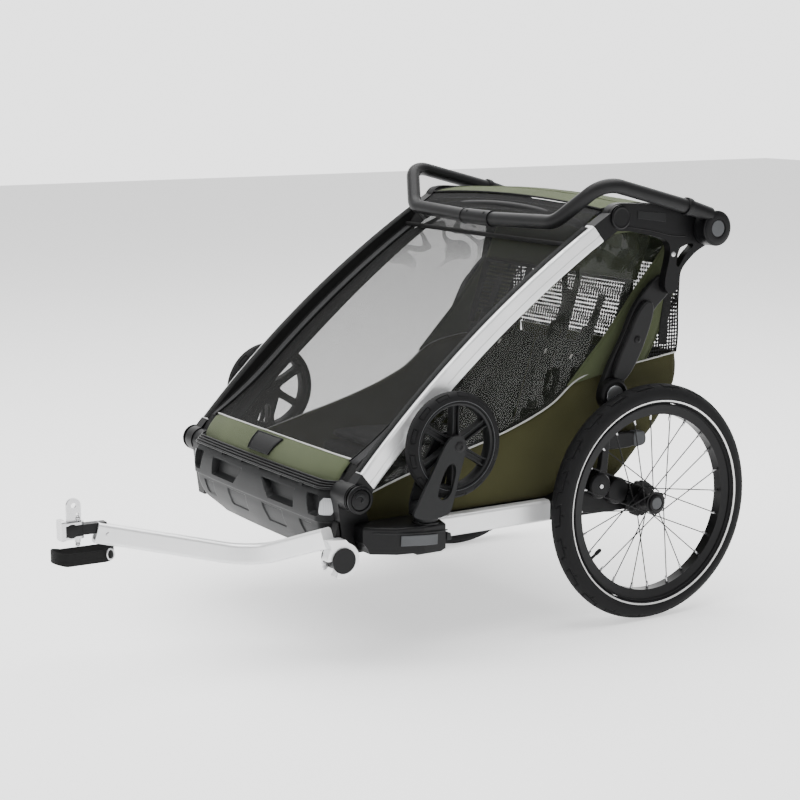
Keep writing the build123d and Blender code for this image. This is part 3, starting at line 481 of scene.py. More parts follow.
def reflective(name, colour, pitch=1.6):
    """Retroreflective tape or lens: fine prisms under a gloss."""
    material, tree, shader = base_material(name, 0.25, 0.35)
    shader.inputs["Coat Weight"].default_value = 0.4
    prisms = crossed_threads(tree, (0.5, 0.6, 0.6), (0.5, -0.6, 0.6), pitch)
    varied_colour(tree, shader, colour, math_node(tree, "ADD", noise_node(tree, 30), prisms), 0.08)
    add_bump(tree, shader, prisms, 0.35, 0.0004)
    return material


SLOPE = (0, 0.776, 0.63)        # along the front tubes
# The olive cloth in two tones of one colour: the first below holds painted shade, for the side panels and the
# cargo bag, and the second holds painted light, for the roof, the top flap and the front band.
PAINTED_SHADE_OLIVE = (0.046, 0.045, 0.018)
PAINTED_LIGHT_OLIVE = (0.078, 0.092, 0.05)
mat = {"satin_aluminium": metal("satin_aluminium", (0.86, 0.865, 0.87), 0.36, 0.5),
        "black_plastic": plastic("black_plastic", (0.0045, 0.0045, 0.005), 0.4),
        "dark_grey_plastic": plastic("dark_grey_plastic", (0.0115, 0.012, 0.0125), 0.44),
        "touch_grey": plastic("touch_grey", (0.075, 0.078, 0.082), 0.5),
        "black_metal": metal("black_metal", (0.014, 0.014, 0.0145), 0.42, 0.25),
        "hub_silver": metal("hub_silver", (0.4, 0.41, 0.42), 0.33, 0.9, 0.05, (1, 6, 6)),
        "steel": metal("steel", (0.6, 0.6, 0.61), 0.26, 1.0, 0.05, (1, 1, 8)),
        "reflector": reflective("reflector", (0.42, 0.43, 0.44), 4.0),
        "tyre_rubber": rubber("tyre_rubber", (0.0055, 0.0055, 0.006)), "rim_black": metal("rim_black",
        (0.007, 0.007, 0.0075), 0.3, 0.3), "olive_fabric": woven("olive_fabric", PAINTED_SHADE_OLIVE, 1.3, (0, 1, 0),
        (0, 0, 1)), "olive_top": woven("olive_top", PAINTED_LIGHT_OLIVE, 1.3, (1, 0, 0), (0, 0.95, 0.3)),
        "olive_side": woven("olive_side", (0.062, 0.073, 0.037), 1.3, (0, 1, 0), (0, 0, 1)),
        "olive_band": woven("olive_band", PAINTED_LIGHT_OLIVE, 1.3, (1, 0, 0), (0, 0.6, 0.8)),
        "mesh_fabric": netting("mesh_fabric", (0.016, 0.016, 0.0155), 1.5, (1, 0, 0), SLOPE, -0.05, 0.1),
        "vent_mesh": netting("vent_mesh", (0.012, 0.012, 0.012), 2.4, (1, 0, 0), SLOPE, 0.3, 0.25),
        "coarse_mesh": netting("coarse_mesh", (0.014, 0.014, 0.014), 13, (0.7, 0.21, 0.67), (0.7, -0.21,
        -0.67), -0.15), "side_net": netting("side_net", (0.008, 0.008, 0.008), 10, (0, 0.7, 0.7), (0,
        0.7, -0.7), 0.25), "rear_mesh": netting("rear_mesh", (0.012, 0.012, 0.012), 12, (0.7, 0, 0.7),
        (0.7, 0, -0.7), -0.2), "binding": woven("binding", (0.03, 0.03, 0.031), 1.0, (1, 0, 0), SLOPE,
        0.6, 0.1, 0.05), "black_binding": woven("black_binding", (0.007, 0.007, 0.007), 1.0, (1, 0, 0),
        SLOPE, 0.6, 0.1, 0.02), "charcoal_fabric": woven("charcoal_fabric", (0.012, 0.012, 0.0125), 1.8,
        (1, 0, 0), (0, 0.6, 0.8)), "charcoal_side": woven("charcoal_side", (0.011, 0.011, 0.0115), 1.8,
        (0, 1, 0), (0, 0, 1)), "webbing": woven("webbing", (0.008, 0.008, 0.008), 2.2, (1, 0.4, 0), (0,
        0.6, 0.8), 0.6, 0.1, 0.05, 0.7), "window_film": film("window_film", (0.03, 0.034, 0.026), 0.22),
        "floor_plastic": plastic("floor_plastic", (0.014, 0.014, 0.015), 0.6),
        "piping": reflective("piping", (0.5, 0.5, 0.48)), "stripe": reflective("stripe", (0.78, 0.78,
        0.77), 1.2),}


def piece_of(name, shape, look, body="base", smooth=True):
    """A piece of a shape, in a material, riding on a body."""
    points, faces = shape
    piece = make(name, points, faces, mat[look], smooth)
    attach(piece, body)
    return piece


def squashed(piece):
    """Gives a soft piece a mesh of its own."""
    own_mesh(piece)
    return piece


def soft_side(name, shape, look, gauge=1.2):
    """A thickened sheet on the base, with a mesh of its own."""
    return squashed(thicken(piece_of(name, shape, look, "base"), gauge))


# ---- carried-over CAD nodes take their slot's material ----
for part in frame["record"]["subparts"]:
    node = frame["nodes"][part["node"]]
    node.data.materials.clear()
    node.data.materials.append(mat[part["material_slot"]])


# ---- front cover, its bindings, band and badge ----
COVER_FROM, COVER_TO, COVER_HALF = 52, 694, 314


def cover_off(along, share):
    """How far the cover lies off the tube's centre line: it lifts to the band at its foot."""
    fade = max(0.0, 1 - (along - COVER_FROM) / 190) ** 2
    return -1.5 + (23 + 14 * (1 - share ** 4)) * fade


def cover_rows(x_from, x_to, columns, off, rows=48, sag=5.0):
    grid = []
    for i in range(rows + 1):
        along = COVER_FROM + (COVER_TO - COVER_FROM) * i / rows
        row = []
        for j in range(columns + 1):
            x = x_from + (x_to - x_from) * j / columns
            share = x / COVER_HALF
            dip = sag * (1 - share ** 2) * math.sin(math.pi * i / rows)
            row.append((x, *on_tube(along, off + cover_off(along, share) - dip)))
        grid.append(row)
    return lattice(grid)


cover = piece_of("front_cover_mesh", cover_rows(-COVER_HALF, COVER_HALF, 40, 0), "mesh_fabric", "front_frame")
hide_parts("front_cover")
for side_name, side in SIDES:
    strip = piece_of(
        f"cover_binding_{side_name}", cover_rows(side * 291, side * 319, 6, 1.0, sag=0), "binding",
        "front_frame",
    )
    thicken(strip, 1.6)
    for mark, x in (("inner", 291), ("outer", 317)):
        line = []
        for k in range(65):
            along = COVER_FROM + 10 * k
            line.append((side * x, *on_tube(along, cover_off(along, x / COVER_HALF) + 2.2)))
        piece_of(f"cover_cord_{mark}_{side_name}", rod(line, 2.0), "black_binding",
                 "front_frame")
    seal = []
    for k in range(68):
        along = 40 + 10.35 * k
        edge = ((341, 22.3), (336, 24.2), (324, 24.4), (319.4, 21.5), (319.2, -19), (320.8, -19), (320.9, 20),
                (326, 22.2))
        seal.append([(side * x, *on_tube(along, off)) for x, off in edge])
    piece_of(f"cover_seal_{side_name}", lattice(seal, wrap_columns=True, caps=True), "black_binding",
             "front_frame")
    corner = []
    for t in range(9):
        y, z = -676 - 32 * t / 8, 400 - 48 * t / 8
        edge = ((289, 0), (300, 2.5), (318, 1.5), (318, -1.5), (289, -2))
        corner.append([(side * x, y - 0.8 * d, z + 0.6 * d) for x, d in edge])
    piece_of(f"band_side_binding_{side_name}", lattice(corner, wrap_columns=True, caps=True), "black_binding",
             "front_frame")

BAND_PROFILE = [(0, -690, 408), (0, -700, 399), (0, -713, 384), (0, -722, 368), (0, -726, 359)]
BAND_TOP_HALF, BAND_FOOT_HALF = 291, 288
BAND_LINE = through(BAND_PROFILE, 4)


def on_band(u, v, off=0.0):
    """The band's face at u across (-1 to 1) and v down (0 to 1), off in front of it."""
    half = BAND_TOP_HALF + (BAND_FOOT_HALF - BAND_TOP_HALF) * v
    centre = along_line(BAND_LINE, v)
    belly = 3.0 * math.sin(math.pi * v) * (1 - u ** 4) + off
    back = 15 * u ** 4
    ripple = 0.9 * noise.noise((u * 3.2, v * 2.0, 2.0))
    return Vector((half * u, centre.y + back - belly * 0.8, centre.z - 5 * u ** 4 + belly * 0.6 + ripple))


band_rows = [[on_band(2 * j / 48 - 1, i / 14) for j in range(49)] for i in range(15)]
band = piece_of("front_band_fabric", lattice(band_rows), "olive_band", "front_frame")
thicken(band, 1.6)
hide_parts("front_band")
across = [2 * j / 60 - 1 for j in range(61)]
piece_of("band_piping", rod([on_band(u, 0, 1.2) for u in across], 1.9), "piping",
         "front_frame")
piece_of("band_foot_seam", rod([on_band(u, 0.97, 1.6) for u in across], 1.5),
        "olive_band", "front_frame")
badge_face = []
for i in range(7):
    v = 0.16 + 0.56 * i / 6
    half = 0.185 - 0.035 * i / 6
    badge_face.append([on_band(half * (2 * j / 14 - 1) - 0.03 * i / 6, v, 3.2) for j in range(15)])
badge = piece_of("band_badge", lattice(badge_face), "black_plastic", "front_frame")
thicken(badge, 2.6)
bevel(badge, 0.7)
frame_line = badge_face[0] + [row[-1] for row in badge_face[1:]] + badge_face[-1][-2::-1]
frame_line += [row[0] for row in badge_face[-2:0:-1]]
rim = [point + Vector((0, -1.3, 0.9)) for point in frame_line]
piece_of("band_badge_rim", swept(rim, round_section(1.2, 6), Vector((0, -0.8, 0.6)), closed=True),
         "dark_grey_plastic", "front_frame")

# ---- roof: canopy, front bow, vent and side flaps ----
ROOF_FRONT, ROOF_BACK = -101, 92


def roof_z(x, y):
    """Height of the canopy: arched across, crowned a little from front to back."""
    share = (y - ROOF_FRONT) / (ROOF_BACK - ROOF_FRONT)
    return 862 + 13 * (1 - (x / 318) ** 2) + 11 * math.sin(math.pi * share) - 12 * share ** 2


roof_rows = []
for i in range(25):
    y = ROOF_FRONT + (ROOF_BACK - ROOF_FRONT) * i / 24
    roof_rows.append([(x, y, roof_z(x, y) + 1.0 * noise.noise((x / 70, y / 40, 1.0))) for x in range(-316,
            317, 8)])
roof = piece_of("roof_canopy_fabric", lattice(roof_rows), "olive_top", "top_link")
thicken(roof, 1.6)
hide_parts("roof_canopy")
bow_line = [(x, ROOF_FRONT + 1, roof_z(x, ROOF_FRONT) - 9) for x in range(-312, 313, 8)]
piece_of("roof_bow", swept(bow_line, round_section(5.5, 14)), "touch_grey", "top_link")
hem_line = [(x, ROOF_FRONT, roof_z(x, ROOF_FRONT) + 0.5) for x in range(-316, 317, 8)]
piece_of("roof_front_hem", rod(hem_line, 2.2), "black_binding", "top_link")
seam_line = [(x, -40, roof_z(x, -40) + 0.8) for x in range(-314, 315, 8)]
piece_of("roof_cross_seam", swept(seam_line, round_section(1.2, 6)), "olive_top", "top_link")
for side_name, side in SIDES:
    rim_line = [(side * 317, y, roof_z(317, y) + 1) for y in range(ROOF_FRONT, ROOF_BACK + 1, 6)]
    piece_of(f"roof_side_hem_{side_name}", rod(rim_line, 2.2), "black_binding",
            "top_link")
    flap_top = through([(side * 314, -98, 860), (side * 314, 0, 864), (side * 312, 88, 850)])
    flap_low = through([(side * 296, -70, 806), (side * 296, 10, 810), (side * 296, 96, 786)])
    flap = piece_of(f"roof_flap_{side_name}", ruled(flap_top, flap_low, 8, 24), "olive_side", "top_link")
    thicken(flap, 1.4)
vent_foot = [Vector((x, *on_tube(COVER_TO, 0))) for x in range(-312, 313, 12)]
vent_head = [Vector((x, ROOF_FRONT - 1, roof_z(x, ROOF_FRONT) - 3)) for x in range(-312, 313, 12)]
vent = make("roof_vent_mesh", *ruled(vent_foot, vent_head, 14, 50,
            lambda u, v: Vector((0, -5, 4)) * math.sin(math.pi * v)), mat["vent_mesh"])
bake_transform(vent)
hem_path = [(x, *on_tube(COVER_TO, 3 - 2 * (1 - (x / 316) ** 2))) for x in range(-316, 317, 8)]
piece_of("cover_top_hem", swept(hem_path, round_section(5.0, 10)), "black_binding", "front_frame")

# ---- side fabric, windows, pillars and piping ----
PIPING = [(-662, 322), (-548, 359), (-337, 413), (-210, 460), (-136, 510), (-58, 528), (10, 532), (126, 547)]
PANEL_FOOT = [(-662, 273), (-500, 272), (-300, 272), (-90, 273), (-30, 296), (40, 364), (88, 416), (124, 484)]
WINDOW_TOP = [(-640, 366), (-548, 460), (-440, 556), (-330, 648), (-230, 724), (-140, 786), (-70, 822),
        (20, 824), (96, 786)]
WINDOW_FOOT = [(-655, 325), (-548, 359), (-440, 388), (-337, 413), (-260, 440), (-210, 460), (-160, 494),
        (-52, 606), (96, 786)]
PILLAR_FRONT = [(96, 786), (60, 742), (12, 690), (-52, 612), (-110, 552), (-160, 500)]
PILLAR_REAR = [(134, 738), (126, 704), (108, 660), (84, 610), (58, 560), (44, 538)]
REAR_EDGE = [(134, 738), (131, 700), (129, 640), (130, 590), (128, 560), (126, 548)]


def side_line(x, flat, steps=8):
    return through([(x, y, z) for y, z in flat], steps)


for side_name, side in SIDES:
    x = side * PANEL_X
    out = Vector((side, 0, 0))
    gusset_top = [(side * 319, *on_tube(along, -16)) for along in range(60, 700, 16)]
    gusset_low = side_line(side * 287, WINDOW_TOP[:7])
    gusset = piece_of(f"window_gusset_{side_name}", ruled(through(gusset_top, 1), gusset_low, 4, 60),
            "binding", "front_frame")
    thicken(gusset, 1.2)

    def panel_bulge(u, v):
        wrinkle = 1.4 * noise.noise((u * 9, v * 3, 4.0))
        return out * ((3.6 + wrinkle) * math.sin(math.pi * v) * math.sin(math.pi * min(1, u * 1.15)) ** 0.5)

    panel = soft_side(f"side_fabric_{side_name}", ruled(side_line(x, PIPING), side_line(x, PANEL_FOOT),
            20, 70, panel_bulge), "olive_fabric")
    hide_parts("side_panels")
    window_foot = side_line(x, WINDOW_FOOT)
    window = soft_side(f"side_window_{side_name}", ruled(side_line(x, WINDOW_TOP), window_foot, 24, 60,
            lambda u, v: out * (3 * math.sin(math.pi * v) + 1.6 * noise.noise((u * 5, v * 4, 9.0)))),
            "window_film", 0.6)
    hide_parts("side_windows")
    pillar = soft_side(f"pillar_fabric_{side_name}",
              ruled(side_line(x + side * 2, PILLAR_FRONT), side_line(x + side * 2, PILLAR_REAR), 10, 40,
                    lambda u, v: out * (4 * math.sin(math.pi * v))), "olive_side")
    net = soft_side(f"rear_side_mesh_{side_name}", ruled(side_line(x, PILLAR_REAR), side_line(x,
            REAR_EDGE), 8, 30), "side_net", 0.8)
    for name, line, radius, look in (
        ("side_piping", PIPING, 2.0, "piping"), ("window_top_binding", WINDOW_TOP[:7], 4.0, "black_binding"),
        ("pillar_seam", PILLAR_FRONT, 1.8, "olive_side"), ("rear_seam", REAR_EDGE, 2.2, "black_binding"),
        ("pillar_crease", [(116, 760), (84, 712), (46, 660), (6, 598), (-44, 536)], 1.3, "olive_side"),
        ("pillar_rear_seam", PILLAR_REAR, 1.6, "olive_side"),
    ):
        path = side_line(x + side * (6.2 if name == "pillar_crease" else 3), line)
        cord = piece_of(f"{name}_{side_name}", rod(path, radius, ACROSS), look, "base")
        squashed(cord)

# ---- rear: mesh panel, cargo bag and straps ----
REAR_HALF = 283


def rear_sheet(name, profile, look, belly, rows=16, columns=40, gauge=1.4):
    line = through([(0, y, z) for y, z in profile], 6)
    grid = []
    for i in range(rows + 1):
        point = along_line(line, i / rows)
        row = []
        for j in range(columns + 1):
            u = 2 * j / columns - 1
            push = belly * (1 - u ** 4) * math.sin(math.pi * i / rows) + 1.5 * noise.noise((u * 5, i / 5,
                    7.0))
            row.append((REAR_HALF * u, point.y + push, point.z))
        grid.append(row)
    return soft_side(name, lattice(grid), look, gauge)


top_flap = rear_sheet("rear_top_flap", [(92, 842), (118, 800), (134, 730)], "olive_top", 2, 8)
rear_panel = rear_sheet("rear_mesh_panel", [(134, 730), (131, 690), (129, 620), (126, 548)], "rear_mesh",
        3)
bag = rear_sheet("cargo_bag_back", [(126, 548), (130, 520), (124, 482), (88, 416), (30, 352), (-32, 298)],
        "olive_fabric", 4, 22)
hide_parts("rear_cover")
liner_foot = [Vector((x, 22, 706)) for x in range(-280, 281, 10)]
liner_head = [Vector((x, 78, 846)) for x in range(-280, 281, 10)]
liner = soft_side("rear_liner", ruled(liner_foot, liner_head, 10, 56, lambda u, v: Vector((0, 10,
        0)) * math.sin(math.pi * v) * math.sin(math.pi * u)), "olive_side")
for side_name, side in SIDES:
    line = [(side * 289, 111, 736), (side * 290, 104, 690), (side * 290, 94, 630), (side * 290, 86, 566)]
    strap = piece_of(f"rear_strap_{side_name}", swept(through(line), flat_section(22, 2), ACROSS),
            "webbing", "base")
    squashed(strap)
    line = [(side * 120, 138, 736), (side * 120, 135, 690), (side * 120, 133, 620), (side * 120, 131, 552)]
    strap = piece_of(f"rear_inner_strap_{side_name}", swept(through(line), flat_section(22, 2), Vector((0,
            1, 0.1))), "webbing", "base")
    squashed(strap)
rear_line = [(x, 129, 548) for x in range(-280, 281, 8)]
rear_piping = piece_of("rear_piping", rod(rear_line, 2.0), "piping", "base")
squashed(rear_piping)

# ---- seats: base pads, back with mesh windows, harness ----
PAD_X, STRAP_X = 132, 134


def pad_shape(centre, half_x, outline_len, thick, tilt, rows=14, columns=16, grooves=0):
    """A crowned closed pad: across x, along a tilted side-view direction."""
    along = Vector((0, math.cos(tilt), math.sin(tilt)))
    normal = Vector((0, -math.sin(tilt), math.cos(tilt)))
    centre = Vector(centre)
    grid = []
    for i in range(rows + 1):
        v = 2 * i / rows - 1
        ring = []
        for j in range(2 * columns):
            turn = 2 * math.pi * j / (2 * columns)
            u = math.copysign(abs(math.cos(turn)) ** 0.35, math.cos(turn))
            w = math.copysign(abs(math.sin(turn)) ** 0.6, math.sin(turn))
            edge = (1 - abs(v) ** 6) ** 0.5 if abs(v) < 1 else 0.0
            pinch = 1 - 0.04 * (1 - v * v) * abs(u)
            groove = 1 - 0.14 * (grooves and math.exp(-((math.sin(v * math.pi * grooves / 2)) / 0.18) ** 2))
            ring.append(centre + ACROSS * (half_x * u * pinch * (0.94 + 0.06 * edge))
                        + along * (outline_len * v) + normal * (thick * w * max(edge, 0.12) * groove))
        grid.append(ring)
    return lattice(grid, wrap_columns=True, caps=True)


for seat_name, seat in SIDES:
    pad = piece_of(f"seat_pad_{seat_name}", pad_shape((seat * PAD_X, -262, 330), 126, 158, 17, -0.06, 24,
            20, 3), "charcoal_fabric", "base")
    subdivide(pad)
    if seat == 1:
        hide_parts("seat_base")
skirt = prism([(-430, 262), (-432, 322), (-110, 312), (-84, 300), (-80, 262)], -266, 266)
bevel(piece_of("seat_box", skirt, "charcoal_side", "base", smooth=False), 10, 3)

BACK_LOW, BACK_HIGH = (-104, 322), (18, 706)
back_tilt = math.atan2(BACK_HIGH[1] - BACK_LOW[1], BACK_HIGH[0] - BACK_LOW[0])


def on_back(share, off=0.0):
    """A side-view point on the seat back's face, off in front of it."""
    y = BACK_LOW[0] + (BACK_HIGH[0] - BACK_LOW[0]) * share
    z = BACK_LOW[1] + (BACK_HIGH[1] - BACK_LOW[1]) * share
    return (y - math.sin(back_tilt) * off, z + math.cos(back_tilt) * off)


for seat_name, seat in SIDES:
    middle = on_back(0.33, 6)
    back_pad = piece_of(f"back_pad_{seat_name}", pad_shape((seat * PAD_X, *middle), 126, 122, 15,
            back_tilt, 26, 20, 4), "charcoal_fabric", "base")
    subdivide(back_pad)
    squashed(back_pad)
    if seat == 1:
        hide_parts("seat_back")
for k, (x_from, x_to) in enumerate(((-262, -100), (-86, 86), (100, 262))):
    foot = [Vector((x_from + (x_to - x_from) * t / 10, *on_back(0.68, 2))) for t in range(11)]
    head = [Vector((x_from + (x_to - x_from) * t / 10, *on_back(0.985, 2))) for t in range(11)]
    net = squashed(piece_of(f"back_window_mesh_{k}", ruled(foot, head, 10, 16), "coarse_mesh", "base"))
    thicken(net, 0.8)
for k, x in enumerate((-264, -93, 93, 264)):
    line = [Vector((x, *on_back(share, 3))) for share in (0.62, 0.72, 0.84, 0.99)]
    squashed(piece_of(f"back_window_strap_{k}", swept(through(line, 4), flat_section(22, 3), Vector((0,
            -1, 0.3))), "charcoal_side", "base"))
line = [Vector((x, *on_back(0.99, 3))) for x in range(-272, 273, 16)]
squashed(piece_of("back_top_hem", swept(line, flat_section(10, 8)), "charcoal_side", "base"))

harness_first = True
for seat_name, seat in SIDES:
    for strap_name, offset in (("inner", -58), ("outer", 58)):
        x = seat * STRAP_X + offset
        drift = -0.25 * offset
        line = [Vector((x, *on_back(0.9, 4))), Vector((x, *on_back(0.72, 12))), Vector((x + drift,
                *on_back(0.5, 26))), Vector((x + 2.0 * drift, *on_back(0.32, 40))),
                Vector((seat * STRAP_X + offset * 0.25, *on_back(0.18, 60)))]
        strap = piece_of(f"shoulder_strap_{strap_name}_{seat_name}", swept(through(line, 8),
                flat_section(25, 2), STRAP_FACE), "webbing", "base")
        squashed(strap)
        if harness_first:
            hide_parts("harness_straps")
            harness_first = False
        pad_line = through(line, 8)[8:22]
        shoulder = piece_of(f"shoulder_pad_{strap_name}_{seat_name}", swept([p + Vector((0, -4,
                1)) for p in pad_line], flat_section(44, 12), STRAP_FACE), "charcoal_side", "base")
        subdivide(shoulder)
        squashed(shoulder)
        tag = [Vector((p.x, p.y - 11, p.z + 3)) for p in pad_line[6:8]]
        squashed(piece_of(f"pad_reflector_{strap_name}_{seat_name}", swept(tag, flat_section(7, 1),
                STRAP_FACE), "piping", "base"))
    buckle_y, buckle_z = on_back(0.16, 62)
    buckle = [(-20, -26), (20, -26), (26, -8), (24, 18), (14, 27), (-14, 27), (-24, 18), (-26, -8)]
    points = [(seat * STRAP_X + bx, buckle_y - 6 + d, buckle_z + bz) for d in (-7, 7) for bx, bz in buckle]
    faces = [tuple(range(8)), tuple(reversed(range(8, 16)))]
    faces += [(j, 8 + j, 8 + (j + 1) % 8, (j + 1) % 8) for j in range(8)]
    squashed(bevel(piece_of(f"buckle_{seat_name}", (points, faces), "black_plastic", "base"), 3, 3))
    crotch = [(seat * STRAP_X, -196, 344), (seat * STRAP_X, -206, 362), (seat * STRAP_X, buckle_y - 6,
            buckle_z - 20)]
    squashed(piece_of(f"crotch_strap_{seat_name}", swept(through(crotch, 6), flat_section(25, 2),
            STRAP_FACE), "webbing", "base"))
    lap = [(seat * STRAP_X + 118, -112, 352), (seat * STRAP_X + 70, -150, 376), (seat * STRAP_X + 24,
            buckle_y - 6, buckle_z), (seat * STRAP_X - 24, buckle_y - 6, buckle_z), (seat * STRAP_X - 70,
            -150, 376), (seat * STRAP_X - 118, -112, 352)]
    squashed(piece_of(f"lap_strap_{seat_name}", swept(through(lap, 8), flat_section(22, 2), Vector((0,
            -0.4, 1))), "webbing", "base"))

# ---- big wheels: tyre with tread, stripes, beads, nipples, valve and hub ring ----
TREAD_BLOCKS = 22
TYRE_STEPS = 924
TYRE_BENDS = 49


def tread_depth(place, bend):
    """Depth of the outline grooves round each shoulder block; place counts blocks round the tyre."""
    lean = abs(bend)
    phase = (place + (0.5 if bend > 0 else 0)) % 1
    if 35 <= lean <= 41 and 0.1 < phase < 0.72:
        return 2.2
    if 15 <= lean < 41 and abs(phase - (0.12 + (41 - lean) * 0.004)) < 0.03:
        return 2.2
    if 15 <= lean < 41 and abs(phase - (0.7 + (41 - lean) * 0.004)) < 0.03:
        return 2.2
    if 41 < lean < 58 and abs(phase - 0.4 - (lean - 41) * 0.003) < 0.026:
        return 1.8
    if 56 <= lean <= 60 and 0.1 < phase < 0.62:
        return 1.5
    if lean < 5 and 0.3 < phase < 0.62:
        return 1.0
    return 0.0


def tyre_rows(side):
    rows = []
    for i in range(TYRE_STEPS):
        turn = 2 * math.pi * i / TYRE_STEPS
        out_y, out_z = math.cos(turn), math.sin(turn)
        ring = []
        for j in range(TYRE_BENDS):
            bend = math.radians(-132 + 264 * j / (TYRE_BENDS - 1))
            radius = TYRE_R - tread_depth(i * TREAD_BLOCKS / TYRE_STEPS, math.degrees(bend))
            out = WHEEL_R - TYRE_R + radius * math.cos(bend)
            ring.append((side * (WHEEL_X + radius * math.sin(bend)), out * out_y, axle_z + out * out_z))
        for bend in (120, 60, 0, -60, -120):
            out = WHEEL_R - TYRE_R + 20 * math.cos(math.radians(bend))
            ring.append((side * (WHEEL_X + 20 * math.sin(math.radians(bend))), out * out_y,
                    axle_z + out * out_z))
        rows.append(ring)
    return rows


def hoop(centre, profile, steps):
    """A closed ring of a (radius, along x) outline round a wheel's centre."""
    rows = []
    for radius, along in profile:
        row = []
        for k in range(steps):
            turn = 2 * math.pi * k / steps
            row.append((centre[0] + along, centre[1] + radius * math.cos(turn),
                    centre[2] + radius * math.sin(turn)))
        rows.append(row)
    return lattice(rows, wrap_rows=True, wrap_columns=True)


def hoop_up(centre, profile, steps=48):
    """A closed ring of a (radius, up) outline round an upright line."""
    rows = []
    for radius, rise in profile:
        row = []
        for k in range(steps):
            turn = 2 * math.pi * k / steps
            row.append((centre[0] + radius * math.cos(turn), centre[1] + radius * math.sin(turn),
                    centre[2] + rise))
        rows.append(row)
    return lattice(rows, wrap_rows=True, wrap_columns=True)


for side_name, side in SIDES:
    body = f"wheel_{side_name}"
    centre = (side * WHEEL_X, 0, axle_z)
    tyre = piece_of(f"tyre_tread_{side_name}", lattice(tyre_rows(side), wrap_rows=True,
            wrap_columns=True), "tyre_rubber", body)
    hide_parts(f"tyre_{side_name}")
    for face_name, face in (("outer", 1), ("inner", -1)):
        stripe = [(214.2, 18.8), (214.6, 20.8), (217.8, 22.3), (218.2, 20.8), (216, 18.4)]
        piece_of(f"tyre_stripe_{face_name}_{side_name}", hoop(centre, sided(stripe, face * side), 160),
                 "stripe", body)
        bead = [(205.5, 17.4), (207.5, 19.0), (209.6, 18.4), (209.6, 14), (205.5, 14)]
        piece_of(f"tyre_bead_{face_name}_{side_name}", hoop(centre, sided(bead, face * side), 160),
                 "tyre_rubber", body)
    nipples = []
    for index in range(SPOKES):
        turn = 2 * math.pi * index / SPOKES
        out = Vector((0, math.sin(turn), math.cos(turn)))
        flange = 1 if index % 2 else -1
        foot = Vector((side * WHEEL_X + flange * 3, 0, axle_z)) + out * (RIM_INNER + 0.5)
        nipples.append(turned(foot, [(1.6, 0), (3.0, -1), (2.8, -6), (2.2, -13), (1.4, -14)], 8, out))
    piece_of(f"spoke_nipples_{side_name}", join(nipples), "steel", body)
    turn = math.radians(214)
    out = Vector((0, math.cos(turn), math.sin(turn)))
    foot = Vector(centre) + out * (RIM_INNER + 1)
    stem = [(4.6, 0), (4.6, -2), (3.1, -3), (3.1, -18), (4.2, -20), (4.2, -31), (2.6, -34)]
    piece_of(f"valve_{side_name}", turned(foot, stem, 14, out), "black_plastic", body)
    face_x = side * (WHEEL_X + 24.4)
    ring = sided([(18, -1.6), (18, 0), (15.6, 1.4), (14.2, 1.2), (14.2, -1.6)], side)
    piece_of(f"hub_ring_{side_name}", hoop((face_x, 0, axle_z), ring, 40), "black_plastic", body)

# ---- caster wheels with six double-ribbed spokes ----
CASTER_SPOKES = 6
CASTER_STEPS = 520


def caster_tyre_rows(side):
    rows = []
    for i in range(CASTER_STEPS):
        turn = 2 * math.pi * i / CASTER_STEPS
        ring = []
        for j in range(41):
            bend = math.radians(-108 + 216 * j / 40)
            lean = abs(math.degrees(bend))
            phase = (i * 13 / CASTER_STEPS + (0.5 if bend > 0 else 0)) % 1
            groove = 0.0
            if 24 < lean < 31 and 0.12 < phase < 0.7:
                groove = 1.9
            if 31 <= lean < 62 and (abs(phase - 0.14) < 0.03 or abs(phase - 0.68) < 0.03):
                groove = 1.9
            if 62 <= lean < 69 and 0.12 < phase < 0.7:
                groove = 1.4
            across = 16 * math.copysign(abs(math.sin(bend)) ** 0.75, math.sin(bend))
            out = CASTER_R - 15 + (15 - groove) * math.cos(bend)
            ring.append((side * CASTER_X + across * (1 - groove * 0.05),
                    CASTER_AXLE[0] + out * math.cos(turn), CASTER_AXLE[1] + out * math.sin(turn)))
        ring.append((side * CASTER_X + 11, CASTER_AXLE[0] + 86 * math.cos(turn),
                CASTER_AXLE[1] + 86 * math.sin(turn)))
        ring.append((side * CASTER_X - 11, CASTER_AXLE[0] + 86 * math.cos(turn),
                CASTER_AXLE[1] + 86 * math.sin(turn)))
        rows.append(ring)
    return rows


def spoke_ribs(side):
    """Each spoke is two parallel ribs and a web between them."""
    parts = []
    for index in range(CASTER_SPOKES):
        turn = 2 * math.pi * index / CASTER_SPOKES + 0.5
        out = Vector((0, math.cos(turn), math.sin(turn)))
        beside = Vector((0, -math.sin(turn), math.cos(turn)))
        centre = Vector((side * CASTER_X, *CASTER_AXLE))
        for shift, thick, depth in ((-6.2, 3.2, 9.5), (6.2, 3.2, 9.5), (0, 10, 3.0)):
            rows = []
            for reach, widen in ((17, 1.25), (30, 1.05), (52, 0.95), (70, 1.0), (79, 1.2)):
                row = []
                for a, b in ((-1, -1), (1, -1), (1, 1), (-1, 1)):
                    row.append(centre + out * reach + beside * (shift * widen + a * thick / 2 * widen)
                               + ACROSS * (b * depth))
                rows.append(row)
            parts.append(lattice(rows, wrap_columns=True, caps=True))
    return join(parts)


